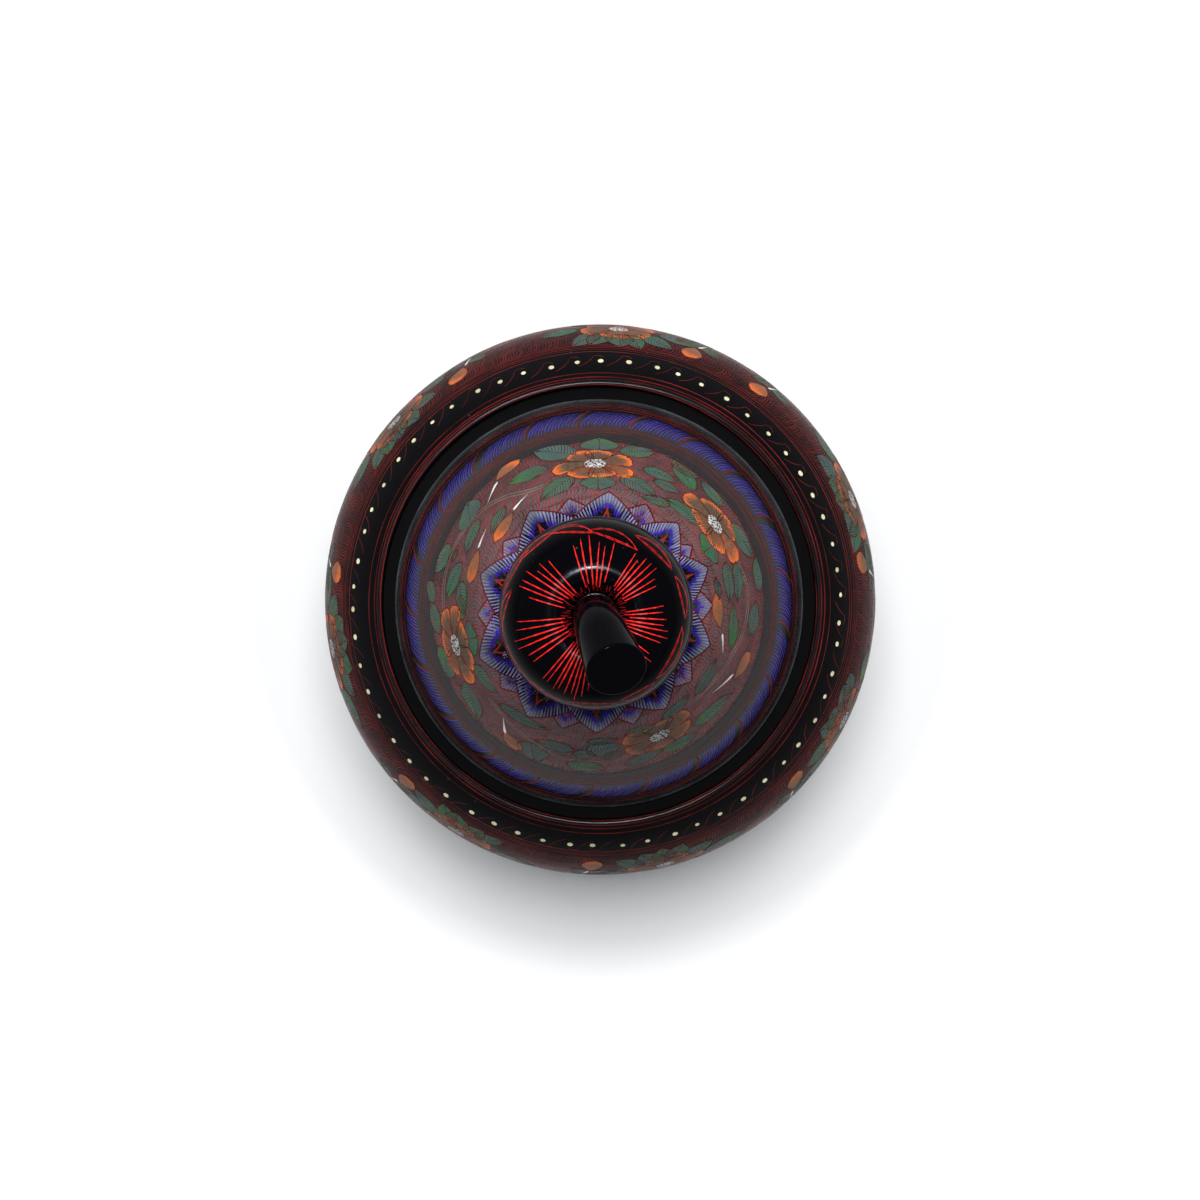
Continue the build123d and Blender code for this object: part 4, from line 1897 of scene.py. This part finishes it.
@dataclass
class Stalk:
    """The curved, flaring peg that leans out of the dimple."""

    foot_height: float
    foot_radius: float = 4.2
    end_radius: float = 6.1
    direction: float = -66.0
    lean: float = 35.0
    upright: float = 2.0
    bend_radius: float = 30.0
    straight: float = 9.45
    end_edge: float = 0.5
    stations: int = 40
    sides: int = 96
    peg_radius: float = 3.0
    peg_length: float = 9.0
    peg_chamfer: float = 0.5
    end_inset: float = 1.5
    edge_steps: int = 4
    sharp: float = 40.0

    def centre_line(self, share: float) -> tuple[Vector, float]:
        """Find a place on the bent centre line.

        Args:
            share: 0 at the foot to 1 at the end.

        Returns:
            The place in millimetres and the lean there in radians.
        """
        bend_length = self.bend_radius * math.radians(self.lean)
        travel = share * (self.upright + bend_length + self.straight)
        rise = min(travel, self.upright)
        turned_by = min(max(travel - self.upright, 0) / self.bend_radius, math.radians(self.lean))
        beyond = max(travel - self.upright - bend_length, 0)
        out = self.bend_radius * (1 - math.cos(turned_by)) + beyond * math.sin(turned_by)
        up = rise + self.bend_radius * math.sin(turned_by) + beyond * math.cos(turned_by)
        angle = math.radians(self.direction)
        place = Vector((out * math.cos(angle), out * math.sin(angle), self.foot_height + up))
        return place, turned_by

    def build(self) -> bpy.types.Object:
        """Model the stalk in place of its node."""
        shape = bmesh.new()
        turn = Matrix.Rotation(math.radians(self.direction), 4, "Z")
        peg_foot = Vector((0, 0, self.foot_height - self.peg_length))
        stations = [
            (peg_foot, 0.0, self.peg_radius - self.peg_chamfer),
            (peg_foot + Vector((0, 0, self.peg_chamfer)), 0.0, self.peg_radius),
            (Vector((0, 0, self.foot_height)), 0.0, self.peg_radius),
        ]
        for station in range(self.stations + 1):
            share = station / self.stations
            place, lean = self.centre_line(share)
            radius = self.foot_radius + (self.end_radius - self.foot_radius) * share
            stations.append((place, lean, radius))
        rings = []
        for place, lean, radius in stations:
            matrix = Matrix.Translation(place * MM) @ turn @ Matrix.Rotation(lean, 4, "Y")
            circle = bmesh.ops.create_circle(
                shape, segments=self.sides, radius=radius * MM, matrix=matrix
            )
            rings.append(circle["verts"])
        loops = [list({edge for vert in ring for edge in vert.link_edges}) for ring in rings]
        for low, high in zip(loops, loops[1:]):
            bmesh.ops.bridge_loops(shape, edges=low + high)
        for loop in (loops[0], loops[-1]):
            bmesh.ops.edgeloop_fill(shape, edges=loop)
        bmesh.ops.recalc_face_normals(shape, faces=shape.faces)
        bmesh.ops.bevel(
            shape,
            geom=loops[-1],
            offset=self.end_edge * MM,
            affect="EDGES",
            segments=self.edge_steps,
            profile=0.5,
            material=-1,
        )
        ends = [face for face in shape.faces if len(face.verts) == self.sides]
        top = max(ends, key=lambda face: face.calc_center_median().z)
        bmesh.ops.inset_region(shape, faces=[top], thickness=self.end_inset * MM)
        piece = finished("stalk_peg", shape, self.sharp)
        dress(piece, (KNOB_LACQUER,), Body.LID, "stalk")
        return piece


@dataclass(frozen=True)
class Lamp:
    """A square lamp that looks at the box.

    One that only gloss shows lights nothing, and one that gloss doesn't show lights all.
    """

    place: Place
    size: float
    power: float
    glossy: bool = False
    colour: Colour = (1.0, 1.0, 1.0)
    aim: Place = (0.0, 0.0, 0.08)

    def hang(self, name: str) -> None:
        """Hang the lamp in the scene under a name.

        Args:
            name: The name.
        """
        data = bpy.data.lights.new(name, "AREA")
        data.size = self.size
        data.energy = self.power
        data.color = self.colour
        lamp = bpy.data.objects.new(name, data)
        lamp.location = self.place
        look = Vector(self.aim) - Vector(self.place)
        lamp.rotation_euler = look.to_track_quat("-Z", "Y").to_euler()
        lamp.visible_glossy = self.glossy
        lamp.visible_diffuse = not self.glossy
        bpy.context.scene.collection.objects.link(lamp)


@dataclass
class Studio:
    """Camera, floor, world and lamps."""

    image_size: float = 1200.0
    focal_pixels: float = 1972.0
    sensor: float = 36.0
    camera_place: Place = (4.0, 13.0, 600.0)
    aim: Place = (0.0, 0.0, 60.0)
    floor_half: float = 2.5
    floor_colour: Colour = (0.79, 0.79, 0.79)
    floor_rough: float = 0.9
    floor_glow: float = 0.1
    shadow_reach: Point = (0.085, 0.15)
    below: Colour = (0.04, 0.04, 0.045)
    above: Colour = (0.18, 0.19, 0.21)
    horizon: Point = (-0.05, 0.25)
    lamps: dict[str, Lamp] = field(default_factory=lambda: {
        "key": Lamp((0.0, 0.37, 1.2), 0.5, 16.3),
        "spark": Lamp((-0.035, 0.13, 1.25), 0.06, 34.0, True),
        "haze": Lamp((-0.05, 0.18, 1.3), 0.28, 9.0, True, (0.5, 0.74, 1.0)),
    })

    def camera(self) -> None:
        """Set up the camera that looks down on the box."""
        data = bpy.data.cameras.new("camera")
        data.sensor_width = self.sensor
        data.lens = self.focal_pixels / self.image_size * self.sensor
        camera = bpy.data.objects.new("camera", data)
        place = Vector(self.camera_place) * MM
        back = (place - Vector(self.aim) * MM).normalized()
        right = Vector((0, 1, 0)).cross(back).normalized()
        turn = Matrix((right, back.cross(right), back)).transposed().to_4x4()
        camera.matrix_world = Matrix.Translation(place) @ turn
        bpy.context.scene.collection.objects.link(camera)
        bpy.context.scene.camera = camera

    def floor(self) -> None:
        """Lay a pale floor that keeps the box's shadow and fades to white beyond it."""
        shape = bmesh.new()
        bmesh.ops.create_grid(shape, x_segments=1, y_segments=1, size=self.floor_half)
        floor = finished("floor", shape)
        material = bpy.data.materials.new("floor_white")
        material.use_nodes = True
        tree = Tree(material.node_tree)
        shader = material.node_tree.nodes["Principled BSDF"]
        shader.inputs["Base Color"].default_value = (*self.floor_colour, 1)
        shader.inputs["Roughness"].default_value = self.floor_rough
        shader.inputs["Emission Color"].default_value = (1, 1, 1, 1)
        camera, seen = self.seen(tree)
        place = tree.node("TexCoord").outputs["Object"]
        distance = tree.node("VectorMath", {0: place}, operation="LENGTH").outputs["Value"]
        rise = tree.ramp(distance, *self.shadow_reach)
        beyond = tree.math("MULTIPLY", camera, tree.math("MULTIPLY", rise, rise))
        glow = tree.math("MAXIMUM", tree.math("MULTIPLY", seen, self.floor_glow), beyond)
        links = material.node_tree.links
        links.new(glow, shader.inputs["Emission Strength"])
        clear = tree.node("BsdfTransparent").outputs[0]
        back = tree.node("NewGeometry").outputs["Backfacing"]
        sides = tree.node("MixShader", {0: back, 1: shader.outputs[0], 2: clear})
        links.new(sides.outputs[0], material.node_tree.nodes["Material Output"].inputs["Surface"])
        floor.data.materials.append(material)

    @staticmethod
    def seen(tree: Tree) -> tuple[bpy.types.NodeSocket, bpy.types.NodeSocket]:
        """Tell the rays that show a surface from those that only light it.

        Args:
            tree: The nodes that ask.

        Returns:
            1 on rays from the camera, and 1 on those and on what gloss or glass sends on.
        """
        path = tree.node("LightPath").outputs
        bent = tree.math("MAXIMUM", path["Is Glossy Ray"], path["Is Transmission Ray"])
        return path["Is Camera Ray"], tree.math("MAXIMUM", path["Is Camera Ray"], bent)

    def world(self) -> None:
        """Dim light from all round, darker below the horizon, behind a white background."""
        world = bpy.data.worlds.new("studio")
        bpy.context.scene.world = world
        world.use_nodes = True
        tree = Tree(world.node_tree)
        direction = tree.node("TexCoord").outputs["Generated"]
        height = tree.node("SeparateXYZ", {0: direction}).outputs["Z"]
        share = tree.ramp(height, *self.horizon)
        sky = tree.mix(share, self.below, self.above)
        colour = tree.mix(self.seen(tree)[1], sky, (1, 1, 1))
        background = world.node_tree.nodes["Background"]
        world.node_tree.links.new(colour, background.inputs["Color"])

    def build(self) -> None:
        """Make the whole studio."""
        self.camera()
        self.floor()
        self.world()
        for name, lamp in self.lamps.items():
            lamp.hang(name)
        bpy.context.scene.view_settings.view_transform = "Standard"


def main() -> None:
    """Build the studio and every piece of the box in order."""
    logging.basicConfig(level=logging.INFO, format="%(message)s")
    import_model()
    Studio().build()
    pot = Pot()
    pot.build()
    pot.decorate()
    lid = Lid(seat_height=pot.seat_height, mouth_radius=pot.mouth_radius)
    lid.build()
    lid.decorate()
    knob = Knob(crown_height=lid.crown_height)
    knob.build()
    knob.decorate()
    Stalk(foot_height=knob.dimple_height).build()


if __name__ == "__main__":
    main()
